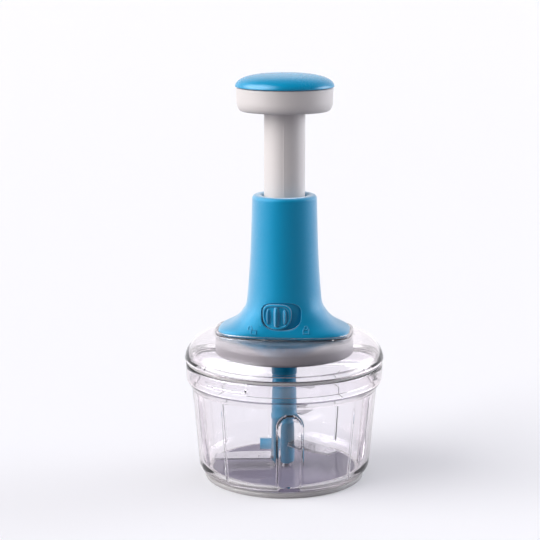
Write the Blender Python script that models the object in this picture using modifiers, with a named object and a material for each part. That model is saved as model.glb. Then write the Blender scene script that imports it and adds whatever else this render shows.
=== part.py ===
"""Plunger food chopper.

A clear fluted bowl holds three blades on a turning shaft. The lid carries a tower with a sprung
plunger. Pressing the plunger drives a nut down a twisted rod, the rod turns, and a hexagonal
coupler under the lid turns the blades with it.

The origin is the centre of the foot, +Z is up and the lock slider faces -Y. Lengths are metres.
"""
import math

import bmesh
import bpy
from mathutils import Matrix, Vector

# Clearances and overruns
GAP = 0.0003
CUT = 0.002
BITE = 0.0005

# Foot ring
FOOT_SETBACK = 0.0005
FOOT_HEIGHT = 0.003
FOOT_WIDTH = 0.0065
FOOT_EDGE = 0.0008

# Bowl
BOWL_TAPER = 0.0041
BOWL_SHOULDER_STEP = 0.0037
BOWL_BODY_HEIGHT = 0.0582
BOWL_WALL = 0.0020
BOWL_FLOOR = 0.0022
BOWL_CORNER = 0.0045
BOWL_SHOULDER_HEIGHT = 0.0051
BOWL_COLLAR_RADIUS = 0.0648
BOWL_COLLAR_HEIGHT = 0.0110
BOWL_RIM_EDGE = 0.0006
FOOT_RIB_WIDTH = 0.0022
FOOT_RIB_HEIGHT = 0.0020
PIN_BOSS_RADIUS = 0.0060
PIN_BOSS_HEIGHT = 0.0030
PIN_BOSS_EDGE = 0.0008

# Flutes round the bowl
FLUTE_COUNT = 4
FLUTE_WIDTH = 0.0150
FLUTE_DEPTH = 0.0052
FLUTE_TOP_CLEARANCE = 0.0055
FLUTE_TURN_DEG = 8.8

# Ribs inside the bowl's wall, one halfway between each two flutes
WALL_RIB_THICKNESS = 0.0012
WALL_RIB_FOOT_DEPTH = 0.0020
WALL_RIB_TOP_DEPTH = 0.0003

# Bayonet between the bowl's collar and the lid's skirt
BAYONET_COUNT = 3
BAYONET_SPAN_DEG = 26
BAYONET_STOP_DEG = 3
BAYONET_LEDGE = 0.0020
BAYONET_LUG = 0.0020
BAYONET_LUG_RISE = 0.0005
BAYONET_REACH = 0.0014
BAYONET_PLAY = 0.0004

# Pivot pin in the bowl's floor
PIVOT_RADIUS = 0.0020
PIVOT_HEIGHT = 0.0060
PIVOT_SEAT = 0.0009

# Blade shaft
SHAFT_RADIUS = 0.0082
SHAFT_FOOT_RADIUS = 0.0087
SHAFT_BAND = 0.0006
SHAFT_BAND_HEIGHT = 0.0030
SHAFT_EDGE = 0.0008
HEX_RADIUS = 0.0056
HEX_LENGTH = 0.0110
FIN_LENGTH = 0.0160
FIN_HEIGHT = 0.0070
FIN_THICKNESS = 0.0030
FIN_RISE = 0.0080

# Blades: heights above the shaft's foot, directions, clearances to the wall and shapes
BLADE_WIDTH = 0.0160
BLADE_THICKNESS = 0.0010
BLADE_EDGE = 0.0002
BLADE_GRIND_SHARE = 0.2
BLADE_TANG_WIDTH = 0.0090
LOWER_BLADE_HEIGHT = 0.0034
LOWER_BLADE_DEG = 185.8
LOWER_BLADE_CLEARANCE = 0.0085
LOWER_BLADE_SWEEP = 0.0010
LOWER_BLADE_TIP_SHARE = 0.70
MIDDLE_BLADE_HEIGHT = 0.0140
MIDDLE_BLADE_DEG = -37.2
MIDDLE_BLADE_CLEARANCE = 0.0130
MIDDLE_BLADE_SWEEP = -0.0030
MIDDLE_BLADE_TIP_SHARE = 0.65
UPPER_BLADE_HEIGHT = 0.0310
UPPER_BLADE_DEG = 54
UPPER_BLADE_CLEARANCE = 0.0110
UPPER_BLADE_SWEEP = 0.0060
UPPER_BLADE_TIP_SHARE = 0.25

# Lid
SEAL_THICKNESS = 0.0015
LID_OVERHANG = 0.0007
LID_WALL = 0.0020
LID_DOME_HEIGHT = 0.0179
LID_CROWN_RADIUS = 0.0400
LID_SKIRT_PLAY = 0.0020
LID_SKIRT_DEPTH = 0.0110
TOWER_RIM_PLAY = 0.0004
TOWER_RIM_WALL = 0.0016
TOWER_RIM_HEIGHT = 0.0016

# Mechanism pan under the lid's crown
PAN_RADIUS = 0.0448
PAN_WALL = 0.0018
PAN_FLOOR = 0.0020
PAN_DEPTH = 0.0107
PAN_CORNER = 0.0025
PAN_RIB_COUNT = 6
PAN_RIB_WIDTH = 0.0012
PAN_RIB_HEIGHT = 0.0040
SPRING_WALL_RADIUS = 0.0179
SPRING_WALL = 0.0027
DRIP_LIP = 0.0024
DRIP_LIP_WALL = 0.0012

# Bearing of the drive
JOURNAL_RADIUS = 0.0040
BUSH_WALL = 0.0019
BUSH_FLANGE = 0.0018
BUSH_FLANGE_THICKNESS = 0.0012
BEARING_LENGTH = 0.0057
BEARING_BOSS_WALL = 0.0030
WASHER_THICKNESS = 0.0008
ROD_COLLAR_HEIGHT = 0.0024
ROD_COLLAR_EDGE = 0.0008

# Coupler between the rod and the blade shaft
COUPLER_RADIUS = 0.0084
COUPLER_LENGTH = 0.0177
COUPLER_WEB = 0.0010
COUPLER_EDGE = 0.0008
CROSS_PIN_RADIUS = 0.0010
CROSS_PIN_RISE = 0.0034

# Spiral drive
SPIRAL_LEAD = 0.040
SPIRAL_WIDTH = 0.0104
SPIRAL_THICKNESS = 0.0044
SPIRAL_CHAMFER = 0.0010
SPIRAL_STEP_DEG = 10
SPIRAL_SPARE = 0.0060
NUT_HEIGHT = 0.0100
NUT_EDGE = 0.0008
NUT_FLANGE_THICKNESS = 0.0015
NUT_PIN_RADIUS = 0.0010
NUT_PIN_DEPTH = 0.0070

# Housing
HOUSING_HEIGHT = 0.0905
HOUSING_WALL = 0.0018
HOUSING_TOP_WALL = 0.0032
HOUSING_TOP_RADIUS = 0.0210
HOUSING_NECK_RADIUS = 0.0240
HOUSING_FOOT_HALF_WIDTH = 0.0431
HOUSING_FOOT_HALF_DEPTH = 0.0260
HOUSING_FLARE_HEIGHT = 0.0261
HOUSING_TOP_EDGE = 0.0024
HOUSING_SQUARENESS = 3.2
GUIDE_RIB_WIDTH = 0.0030
GUIDE_RIB_SEAT = 0.0011
GUIDE_RIB_SPARE = 0.0050

# Plunger
NUT_SLEEVE_LENGTH = 0.0185
PLUNGER_RADIUS = 0.0133
PLUNGER_WALL = 0.0020
PLUNGER_TOP_WALL = 0.0030
PLUNGER_SOCKET = 0.0055
PRESS_CLEARANCE = 0.0042
RUN_OUT = 0.0080
STOP_FLANGE_RADIUS = 0.0188
STOP_FLANGE_THICKNESS = 0.0050
OPENING_CLEARANCE = 0.0009
OPENING_CHAMFER = 0.0018
GUIDE_HEIGHT = 0.0055
GUIDE_EDGE = 0.0008

# Push pad and cap
PAD_FOOT_RADIUS = 0.0310
PAD_RADIUS = 0.0312
PAD_HEIGHT = 0.0148
PAD_WALL = 0.0022
PAD_FLOOR = 0.0024
PAD_CORNER_WIDTH = 0.0032
PAD_CORNER_HEIGHT = 0.0065
CAP_RADIUS = 0.0318
CAP_DOME_HEIGHT = 0.0084
CAP_SKIRT_HEIGHT = 0.0005
CAP_SQUARENESS = 2.5
CAP_WALL = 0.0020
CAP_PLUG_DEPTH = 0.0037
CAP_PLUG_WALL = 0.0015
CAP_PLUG_INSET = 0.0010

# Return spring
SPRING_RADIUS = 0.0160
SPRING_WIRE_RADIUS = 0.0007
SPRING_TURNS = 9
SPRING_POINTS_PER_TURN = 9
SPRING_WASHER_THICKNESS = 0.0010
SPRING_WASHER_EDGE = 0.0008

# Lock slider in its recess
RECESS_WIDTH = 0.0262
RECESS_HEIGHT = 0.0174
RECESS_RISE = 0.0057
RECESS_FLOOR_RADIUS = 0.0230
RECESS_TRAY_WALL = 0.0020
RECESS_HEAD_SQUARENESS = 3.2
RECESS_FOOT_SQUARENESS = 2.8
RECESS_TAPER_SHARE = 0.06
KNOB_WIDTH = 0.0193
KNOB_THICKNESS = 0.0021
KNOB_PLAY = 0.0005
KNOB_FOOT_SQUARENESS = 2.3
RIDGE_RADIUS = 0.0020
SIDE_RIDGE_RADIUS = 0.0012
RIDGE_LENGTH_SHARE = 0.80
SIDE_RIDGE_LENGTH_SHARE = 0.62
RIDGE_SPREAD_DEG = 12.5
STEM_SPAN_DEG = 12
STEM_HEIGHT = 0.0060
WINDOW_PLAY_DEG = 0.9
LATCH_THICKNESS = 0.0011
LATCH_HEIGHT = 0.0120
LATCH_SPAN_DEG = 40
FINGER_SPAN_DEG = 9
FINGER_THICKNESS = 0.0026
FINGER_REACH = 0.0016
FINGER_PLAY = 0.0004
FINGER_SIDE_PLAY_DEG = 2.5

# Screws
SCREW_RADIUS = 0.0015
LOCK_SCREW_RADIUS = 0.0010
SCREW_HEAD_SHARE = 1.87
SCREW_HEAD_HEIGHT_SHARE = 1.2
SCREW_CROWN_SHARE = 1.5
SCREW_TIP_SHARE = 0.67
SOCKET_RADIUS_SHARE = 0.45
SOCKET_DEPTH_SHARE = 0.5
SCREW_BITE = 0.0040
SCREW_POST_WALL = 0.0012
SCREW_BOSS_WALL = 0.0024
SCREW_INSET_X = 0.0131
SCREW_INSET_Y = 0.0145

# Flare of the tower, as shares of its rise and of its spread beyond the neck, from the foot up
FLARE_SHARES = [
    (0.000, 0.985), (0.050, 1.000), (0.072, 0.985), (0.096, 0.955), (0.130, 0.890),
    (0.188, 0.733), (0.245, 0.576), (0.322, 0.419), (0.414, 0.288), (0.521, 0.183),
    (0.636, 0.085), (0.780, 0.028), (1.000, 0.000),
]
# Taper of the tower above the flare, as shares of its rise and of its spread beyond the top
NECK_SHARES = [(0.113, 0.80), (0.340, 0.467), (0.660, 0.200), (1.000, 0.000)]

# Segment counts
WIDE_STEPS = 48
MIDDLE_STEPS = 28
SMALL_STEPS = 20
FLUTE_STEPS = 12
PIN_STEPS = 10
OVAL_STEPS = 28
SHIELD_STEPS = 20
HEX_STEPS = 6
ARC_STEPS = 3
CROWN_STEPS = 6
CAP_STEPS = 8
UNDERSIDE_STEPS = 4
BLADE_STEPS = 7
SECTOR_STEP_DEG = 8
SHARP_DEG = 35

# Radii that follow the bowl's collar
BOWL_MOUTH_RADIUS = BOWL_COLLAR_RADIUS - BOWL_SHOULDER_STEP
BOWL_FOOT_RADIUS = BOWL_MOUTH_RADIUS - BOWL_TAPER
COLLAR_INNER_RADIUS = BOWL_COLLAR_RADIUS - BOWL_WALL
FOOT_RADIUS = BOWL_FOOT_RADIUS - FOOT_SETBACK
LID_RADIUS = BOWL_COLLAR_RADIUS + LID_OVERHANG
LID_SKIRT_RADIUS = COLLAR_INNER_RADIUS - LID_SKIRT_PLAY
INNER_FOOT_RADIUS = BOWL_FOOT_RADIUS - BOWL_WALL

# Heights of the stack, from the table up
BOWL_BOTTOM = FOOT_HEIGHT + GAP
FLOOR_TOP = BOWL_BOTTOM + BOWL_FLOOR
PIN_BOSS_TOP = FLOOR_TOP + PIN_BOSS_HEIGHT
PIVOT_TOP = PIN_BOSS_TOP + PIVOT_HEIGHT
BODY_TOP = BOWL_BOTTOM + BOWL_BODY_HEIGHT
FLUTE_TOP = BODY_TOP - FLUTE_TOP_CLEARANCE
COLLAR_FOOT = BODY_TOP + BOWL_SHOULDER_HEIGHT
RIM_TOP = COLLAR_FOOT + BOWL_COLLAR_HEIGHT
SEAL_BOTTOM = RIM_TOP + GAP
SEAL_TOP = SEAL_BOTTOM + SEAL_THICKNESS
LID_LIP = SEAL_TOP + GAP
LID_WEB_TOP = LID_LIP + LID_WALL
LID_TOP = LID_LIP + LID_DOME_HEIGHT
LID_CEILING = LID_TOP - LID_WALL
SKIRT_FOOT = LID_LIP - LID_SKIRT_DEPTH
LUG_BOTTOM = SKIRT_FOOT + BAYONET_LUG_RISE
LUG_TOP = LUG_BOTTOM + BAYONET_LUG
LEDGE_BOTTOM = LUG_TOP + BAYONET_PLAY
LEDGE_TOP = LEDGE_BOTTOM + BAYONET_LEDGE
PAN_RIM_SHARE = math.sqrt(
    1 - ((PAN_RADIUS - LID_CROWN_RADIUS) / (LID_RADIUS - LID_WALL - LID_CROWN_RADIUS)) ** 2)
PAN_TOP = LID_WEB_TOP + (LID_CEILING - LID_WEB_TOP) * PAN_RIM_SHARE - 2 * GAP
PAN_BOTTOM = PAN_TOP - PAN_DEPTH
PAN_FLOOR_TOP = PAN_BOTTOM + PAN_FLOOR
HEAD_SEAT = PAN_BOTTOM + PAN_DEPTH / 2
BOSS_TOP = PAN_BOTTOM + BEARING_LENGTH
BUSH_TOP = BOSS_TOP + GAP + BUSH_FLANGE_THICKNESS
WASHER_BOTTOM = BUSH_TOP + GAP
ROD_COLLAR_BOTTOM = WASHER_BOTTOM + WASHER_THICKNESS + GAP
ROD_COLLAR_TOP = ROD_COLLAR_BOTTOM + ROD_COLLAR_HEIGHT
COUPLER_TOP = PAN_BOTTOM - GAP
COUPLER_BOTTOM = COUPLER_TOP - COUPLER_LENGTH
SHAFT_BOTTOM = PIN_BOSS_TOP + GAP
SHAFT_TOP = COUPLER_BOTTOM - 2 * GAP
HEX_TOP = SHAFT_TOP + HEX_LENGTH
SOCKET_TOP = HEX_TOP + GAP
ROD_BOTTOM = SOCKET_TOP + COUPLER_WEB
CROSS_PIN_HEIGHT = ROD_BOTTOM + CROSS_PIN_RISE
HOUSING_BOTTOM = LID_TOP + GAP
HOUSING_TOP = HOUSING_BOTTOM + HOUSING_HEIGHT
HOUSING_CEILING = HOUSING_TOP - HOUSING_TOP_WALL
GUIDE_TOP = HOUSING_CEILING - GAP
GUIDE_BOTTOM = GUIDE_TOP - GUIDE_HEIGHT
STOP_FLANGE_TOP = GUIDE_BOTTOM - GAP
STOP_FLANGE_BOTTOM = STOP_FLANGE_TOP - STOP_FLANGE_THICKNESS
SPRING_WASHER_BOTTOM = HOUSING_BOTTOM + GAP
SPRING_WASHER_TOP = SPRING_WASHER_BOTTOM + SPRING_WASHER_THICKNESS
SPRING_BOTTOM = SPRING_WASHER_TOP + GAP
SPRING_TOP = STOP_FLANGE_BOTTOM - GAP
PLUNGER_BOTTOM = STOP_FLANGE_BOTTOM - NUT_SLEEVE_LENGTH
TRAVEL = PLUNGER_BOTTOM - RUN_OUT - LID_TOP
NUT_FLANGE_TOP = PLUNGER_BOTTOM - GAP
NUT_BOTTOM = NUT_FLANGE_TOP - NUT_FLANGE_THICKNESS
NUT_TOP = PLUNGER_BOTTOM + NUT_HEIGHT
NUT_PIN_HEIGHT = PLUNGER_BOTTOM + NUT_HEIGHT / 2
ROD_TOP = NUT_TOP + SPIRAL_SPARE
PAD_BOTTOM = HOUSING_TOP + TRAVEL + PRESS_CLEARANCE
PAD_TOP = PAD_BOTTOM + PAD_HEIGHT
PLUNGER_TOP = PAD_BOTTOM + PLUNGER_SOCKET
PLUNGER_CEILING = PLUNGER_TOP - PLUNGER_TOP_WALL
PAD_HUB_BOTTOM = PLUNGER_TOP + GAP
PAD_HUB_TOP = PAD_HUB_BOTTOM + PAD_FLOOR
CAP_BOTTOM = PAD_TOP + GAP
CAP_EQUATOR = CAP_BOTTOM + CAP_SKIRT_HEIGHT
CAP_TOP = CAP_EQUATOR + CAP_DOME_HEIGHT

# Radii that follow from the sizes above
FOOT_INNER_RADIUS = FOOT_RADIUS - FOOT_WIDTH
FOOT_RIB_RADIUS = FOOT_INNER_RADIUS - GAP
FLUTE_RADIUS = (FLUTE_WIDTH ** 2 / 4 + FLUTE_DEPTH ** 2) / (2 * FLUTE_DEPTH)
SKIRT_INNER_RADIUS = LID_SKIRT_RADIUS - LID_WALL
LEDGE_INNER_RADIUS = LID_SKIRT_RADIUS + BAYONET_PLAY
BAND_RADIUS = SHAFT_RADIUS + SHAFT_BAND
SPRING_WALL_BORE = SPRING_WALL_RADIUS - SPRING_WALL
LID_HOLE_RADIUS = SPRING_WALL_RADIUS + GAP
JOURNAL_BORE = JOURNAL_RADIUS + GAP
BUSH_RADIUS = JOURNAL_BORE + BUSH_WALL
BUSH_FLANGE_RADIUS = BUSH_RADIUS + BUSH_FLANGE
BOSS_BORE = BUSH_RADIUS + GAP
BOSS_RADIUS = BOSS_BORE + BEARING_BOSS_WALL
PLUNGER_BORE = PLUNGER_RADIUS - PLUNGER_WALL
OPENING_RADIUS = PLUNGER_RADIUS + OPENING_CLEARANCE
GUIDE_RADIUS = HOUSING_TOP_RADIUS - HOUSING_WALL - 2 * GAP
KEY_RADIUS = GUIDE_RADIUS - GUIDE_RIB_SEAT
NUT_RADIUS = PLUNGER_BORE - GAP
SCREW_HOLE = SCREW_RADIUS + GAP
HEAD_HOLE = SCREW_RADIUS * SCREW_HEAD_SHARE + GAP
TOWER_REACH = HOUSING_FOOT_HALF_WIDTH + CUT

# Lock slider, worked out from its recess
RECESS_BOTTOM = HOUSING_BOTTOM + RECESS_RISE
RECESS_MIDDLE = RECESS_BOTTOM + RECESS_HEIGHT / 2
KNOB_INNER_RADIUS = RECESS_FLOOR_RADIUS + GAP
KNOB_OUTER_RADIUS = KNOB_INNER_RADIUS + KNOB_THICKNESS
KNOB_HEIGHT = RECESS_HEIGHT - 2 * KNOB_PLAY
KNOB_TRAVEL_DEG = math.degrees((RECESS_WIDTH - KNOB_WIDTH - 2 * KNOB_PLAY) / KNOB_OUTER_RADIUS)
KNOB_REST_DEG = -KNOB_TRAVEL_DEG / 2
TRAY_INNER_RADIUS = RECESS_FLOOR_RADIUS - RECESS_TRAY_WALL
LATCH_OUTER_RADIUS = TRAY_INNER_RADIUS - GAP
LATCH_INNER_RADIUS = LATCH_OUTER_RADIUS - LATCH_THICKNESS
LOCK_SCREW_TIP = KNOB_OUTER_RADIUS - LATCH_THICKNESS
FINGER_TIP_RADIUS = STOP_FLANGE_RADIUS - FINGER_REACH
FINGER_BOTTOM = STOP_FLANGE_TOP - TRAVEL + FINGER_PLAY
FINGER_TOP = FINGER_BOTTOM + FINGER_THICKNESS
FRONT_DEG = -90

# Colours
BLUE = (0.010, 0.270, 0.480)
GREY = (0.560, 0.540, 0.560)
CLEAR = (0.880, 0.860, 0.880)
STEEL = (0.620, 0.620, 0.630)
BRASS = (0.620, 0.440, 0.180)
SMOKE = (0.300, 0.290, 0.270)
WHITE = (0.800, 0.790, 0.760)


def clear_scene():
    for item in list(bpy.data.objects):
        bpy.data.objects.remove(item)


def new_collection(name):
    group = bpy.data.collections.new(name)
    bpy.context.scene.collection.children.link(group)
    return group


clear_scene()
PARTS = new_collection("plunger_food_chopper")
CUTTERS = new_collection("cutters")


# Helpers

def new_material(name, colour, roughness, metallic, transmission):
    finish = bpy.data.materials.new(name)
    finish.use_nodes = True
    shader = finish.node_tree.nodes["Principled BSDF"]
    shader.inputs["Base Color"].default_value = (*colour, 1)
    shader.inputs["Roughness"].default_value = roughness
    shader.inputs["Metallic"].default_value = metallic
    shader.inputs["Transmission Weight"].default_value = transmission
    finish.diffuse_color = (*colour, 1)
    return finish


def add_part(name, shape, colour, roughness=0.4, metallic=0.0, transmission=0.0):
    piece = bpy.data.objects.new(name, shape)
    PARTS.objects.link(piece)
    shape.materials.append(new_material(name, colour, roughness, metallic, transmission))
    return piece


def add_tool(name, shape):
    """Adds a shape that cuts, joins or trims a piece and isn't a piece itself."""
    tool = bpy.data.objects.new(name, shape)
    CUTTERS.objects.link(tool)
    tool.hide_render = True
    tool.display_type = "WIRE"
    return tool


def combine(piece, tool, operation):
    step = piece.modifiers.new(tool.name, "BOOLEAN")
    step.operation = operation
    step.solver = "EXACT"
    step.object = tool


def cut(piece, tool):
    combine(piece, tool, "DIFFERENCE")


def join(piece, tool):
    combine(piece, tool, "UNION")


def trim(piece, tool):
    combine(piece, tool, "INTERSECT")


def place(piece, matrix):
    """Moves a piece together with the shapes that cut, join or trim it."""
    piece.matrix_basis = matrix @ piece.matrix_basis
    for step in piece.modifiers:
        if step.type == "BOOLEAN":
            place(step.object, matrix)
    return piece


def turned(degrees, axis="Z"):
    return Matrix.Rotation(math.radians(degrees), 4, axis)


def moved(x, y, z):
    return Matrix.Translation(Vector((x, y, z)))


def mesh_from(name, build):
    """Makes a mesh with a function that fills a bmesh."""
    work = bmesh.new()
    build(work)
    mesh = bpy.data.meshes.new(name)
    work.to_mesh(mesh)
    work.free()
    return mesh


def welded(piece):
    """Finished mesh of a piece, with its loose caps welded."""
    view = bpy.context.evaluated_depsgraph_get()
    mesh = bpy.data.meshes.new_from_object(piece.evaluated_get(view))
    work = bmesh.new()
    work.from_mesh(mesh)
    bmesh.ops.remove_doubles(work, verts=work.verts, dist=GAP / 100)
    bmesh.ops.recalc_face_normals(work, faces=work.faces)
    work.to_mesh(mesh)
    work.free()
    return mesh


def profile_mesh(name, outline, closed=False):
    """Profile at +X that runs down its outer side, for a Screw modifier."""
    count = len(outline)
    edges = [(i, i + 1) for i in range(count - 1)]
    if closed:
        edges.append((count - 1, 0))
    mesh = bpy.data.meshes.new(name)
    mesh.from_pydata([(r, 0, z) for r, z in outline], edges, [])
    return mesh


def spin(piece, steps):
    turn = piece.modifiers.new("turned", "SCREW")
    turn.axis = "Z"
    turn.angle = math.tau
    turn.steps = steps
    turn.render_steps = steps
    turn.use_merge_vertices = True
    turn.merge_threshold = GAP / 30
    return piece


def cylinder(name, radius, low, high, steps=SMALL_STEPS, top_radius=None):
    def build(work):
        upper = radius if top_radius is None else top_radius
        bmesh.ops.create_cone(work, cap_ends=True, segments=steps, radius1=radius, radius2=upper,
                              depth=high - low)
        bmesh.ops.translate(work, verts=work.verts, vec=(0, 0, (low + high) / 2))
    return mesh_from(name, build)


def box(name, low, high):
    def build(work):
        bmesh.ops.create_cube(work, size=1)
        size = [b - a for a, b in zip(low, high)]
        middle = [(a + b) / 2 for a, b in zip(low, high)]
        bmesh.ops.scale(work, verts=work.verts, vec=size)
        bmesh.ops.translate(work, verts=work.verts, vec=middle)
    return mesh_from(name, build)


def plate(name, outline, low, high):
    """Flat outline, filled and extruded between two heights."""
    curve = bpy.data.curves.new(name, "CURVE")
    curve.dimensions = "2D"
    curve.fill_mode = "BOTH"
    curve.extrude = (high - low) / 2
    line = curve.splines.new("POLY")
    line.points.add(len(outline) - 1)
    for spot, (x, y) in zip(line.points, outline):
        spot.co = (x, y, 0, 1)
    line.use_cyclic_u = True
    carrier = add_tool(name, curve)
    mesh = welded(carrier)
    mesh.transform(moved(0, 0, (low + high) / 2))
    bpy.data.objects.remove(carrier)
    return mesh


def loft(name, rings):
    """Closed skin of triangles through rings of points of equal count, first to last."""
    def build(work):
        layers = [[work.verts.new(point) for point in ring] for ring in rings]
        count = len(rings[0])
        for near, far in zip(layers, layers[1:]):
            for i in range(count):
                j = (i + 1) % count
                work.faces.new((near[i], near[j], far[j]))
                work.faces.new((near[i], far[j], far[i]))
        work.faces.new(list(reversed(layers[0])))
        work.faces.new(layers[-1])
        bmesh.ops.recalc_face_normals(work, faces=work.faces)
    return mesh_from(name, build)


def arc(middle_r, middle_z, radius_r, radius_z, start_deg, end_deg, steps=ARC_STEPS):
    """Points of an elliptical arc in a profile, both ends included."""
    points = []
    for i in range(steps + 1):
        angle = math.radians(start_deg + (end_deg - start_deg) * i / steps)
        points.append((middle_r + radius_r * math.cos(angle),
                       middle_z + radius_z * math.sin(angle)))
    return points


def oval(half_width, half_depth, squareness, steps):
    """Points round a superellipse: squareness 2 is an ellipse, and more is squarer."""
    points = []
    for i in range(steps):
        angle = math.tau * i / steps
        across = math.cos(angle)
        along = math.sin(angle)
        points.append((half_width * math.copysign(abs(across) ** (2 / squareness), across),
                       half_depth * math.copysign(abs(along) ** (2 / squareness), along)))
    return points


def sector(name, inner, outer, low, high, middle_deg, span_deg):
    """Block between two arcs round the axis."""
    steps = max(2, round(span_deg / SECTOR_STEP_DEG))
    angles = [math.radians(middle_deg - span_deg / 2 + span_deg * i / steps)
              for i in range(steps + 1)]
    outside = [(outer * math.cos(a), outer * math.sin(a)) for a in angles]
    inside = [(inner * math.cos(a), inner * math.sin(a)) for a in reversed(angles)]
    return plate(name, outside + inside, low, high)


def ring_part(name, inner, outer, low, high, steps, colour, metallic=0.0):
    outline = [(outer, high), (outer, low), (inner, low), (inner, high)]
    return spin(add_part(name, profile_mesh(name, outline, True), colour, 0.35, metallic), steps)


def blend(start, end, share):
    return start + (end - start) * share


# Bowl and foot

def make_foot_ring():
    outline = [(FOOT_RADIUS - FOOT_EDGE, FOOT_HEIGHT), (FOOT_RADIUS, FOOT_HEIGHT - FOOT_EDGE),
               (FOOT_RADIUS, FOOT_EDGE), (FOOT_RADIUS - FOOT_EDGE, 0), (FOOT_INNER_RADIUS, 0),
               (FOOT_INNER_RADIUS, FOOT_HEIGHT)]
    return spin(add_part("foot_ring", profile_mesh("foot_ring", outline, True), SMOKE, 0.5),
                WIDE_STEPS)


def flute_tool(name, index, radius):
    """Leaning rod with a ball end that presses one flute into the bowl's wall."""
    shoulder = FLUTE_TOP - FLUTE_WIDTH / 2
    foot = BOWL_BOTTOM - CUT
    outline = arc(0, shoulder, radius, radius, 90, 0) + [(radius, foot), (0, foot)]
    tool = spin(add_tool(f"{name}_{index}", profile_mesh(name, outline)), FLUTE_STEPS)
    lean = math.degrees(math.atan2(BOWL_MOUTH_RADIUS - BOWL_FOOT_RADIUS,
                                   BOWL_BODY_HEIGHT - BOWL_CORNER))
    pivot = BOWL_BOTTOM + BOWL_CORNER
    stand = moved(BOWL_FOOT_RADIUS + FLUTE_RADIUS - FLUTE_DEPTH, 0, pivot)
    heading = FRONT_DEG + FLUTE_TURN_DEG + 360 * index / FLUTE_COUNT
    return place(tool, turned(heading) @ stand @ turned(lean, "Y") @ moved(0, 0, -pivot))


def bowl_cavity():
    """Room inside the bowl, with a ridge where each flute comes in."""
    outline = [(0, RIM_TOP + CUT), (COLLAR_INNER_RADIUS, RIM_TOP + CUT),
               (COLLAR_INNER_RADIUS, COLLAR_FOOT), (BOWL_MOUTH_RADIUS - BOWL_WALL, BODY_TOP)]
    outline += arc(INNER_FOOT_RADIUS - BOWL_CORNER, FLOOR_TOP + BOWL_CORNER, BOWL_CORNER,
                   BOWL_CORNER, 0, -90, ARC_STEPS - 1)
    outline += [(0, FLOOR_TOP)]
    cavity = spin(add_tool("bowl_cavity", profile_mesh("bowl_cavity", outline)), WIDE_STEPS)
    for i in range(FLUTE_COUNT):
        cut(cavity, flute_tool("flute_back", i, FLUTE_RADIUS + BOWL_WALL))
    return cavity


def make_bowl():
    rib_inner = FOOT_RIB_RADIUS - FOOT_RIB_WIDTH
    rib_bottom = BOWL_BOTTOM - FOOT_RIB_HEIGHT
    outline = [(0, RIM_TOP), (BOWL_COLLAR_RADIUS - BOWL_RIM_EDGE, RIM_TOP),
               (BOWL_COLLAR_RADIUS, RIM_TOP - BOWL_RIM_EDGE), (BOWL_COLLAR_RADIUS, COLLAR_FOOT),
               (BOWL_MOUTH_RADIUS, BODY_TOP)]
    outline += arc(BOWL_FOOT_RADIUS - BOWL_CORNER, BOWL_BOTTOM + BOWL_CORNER, BOWL_CORNER,
                   BOWL_CORNER, 0, -90)
    outline += [(FOOT_RIB_RADIUS, BOWL_BOTTOM), (FOOT_RIB_RADIUS, rib_bottom),
                (rib_inner, rib_bottom), (rib_inner, BOWL_BOTTOM), (0, BOWL_BOTTOM)]
    bowl = spin(add_part("bowl", profile_mesh("bowl", outline), CLEAR, 0.05, 0.0, 1.0), WIDE_STEPS)
    for i in range(FLUTE_COUNT):
        cut(bowl, flute_tool("flute_groove", i, FLUTE_RADIUS))
    cut(bowl, bowl_cavity())
    join(bowl, add_tool("pin_boss", cylinder("pin_boss", PIN_BOSS_RADIUS, FLOOR_TOP - BITE,
                                             PIN_BOSS_TOP, SMALL_STEPS,
                                             PIN_BOSS_RADIUS - PIN_BOSS_EDGE)))
    cut(bowl, add_tool("pin_hole", cylinder("pin_hole", PIVOT_RADIUS + GAP,
                                            BOWL_BOTTOM + PIVOT_SEAT, PIN_BOSS_TOP + CUT,
                                            PIN_STEPS)))
    add_wall_ribs(bowl)
    add_ledges(bowl)
    return bowl


def add_wall_ribs(bowl):
    """Ribs that run out towards the top, so that the moulded bowl comes off its core."""
    corner_top = FLOOR_TOP + BOWL_CORNER
    height_share = (FLUTE_TOP - corner_top) / (BODY_TOP - corner_top)
    wall_r = blend(INNER_FOOT_RADIUS, BOWL_MOUTH_RADIUS - BOWL_WALL, height_share)
    outline = [(INNER_FOOT_RADIUS - WALL_RIB_FOOT_DEPTH, FLOOR_TOP - BITE),
               (INNER_FOOT_RADIUS - BOWL_CORNER / 2, FLOOR_TOP - BITE),
               (INNER_FOOT_RADIUS + BOWL_WALL / 2, corner_top),
               (wall_r + BOWL_WALL / 2, FLUTE_TOP), (wall_r - WALL_RIB_TOP_DEPTH, FLUTE_TOP)]
    for i in range(FLUTE_COUNT):
        name = f"wall_rib_{i}"
        rib = add_tool(name, plate(name, outline, -WALL_RIB_THICKNESS / 2, WALL_RIB_THICKNESS / 2))
        heading = FRONT_DEG + FLUTE_TURN_DEG + 360 * (i + 1 / 2) / FLUTE_COUNT
        join(bowl, place(rib, turned(heading) @ turned(90, "X")))


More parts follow.
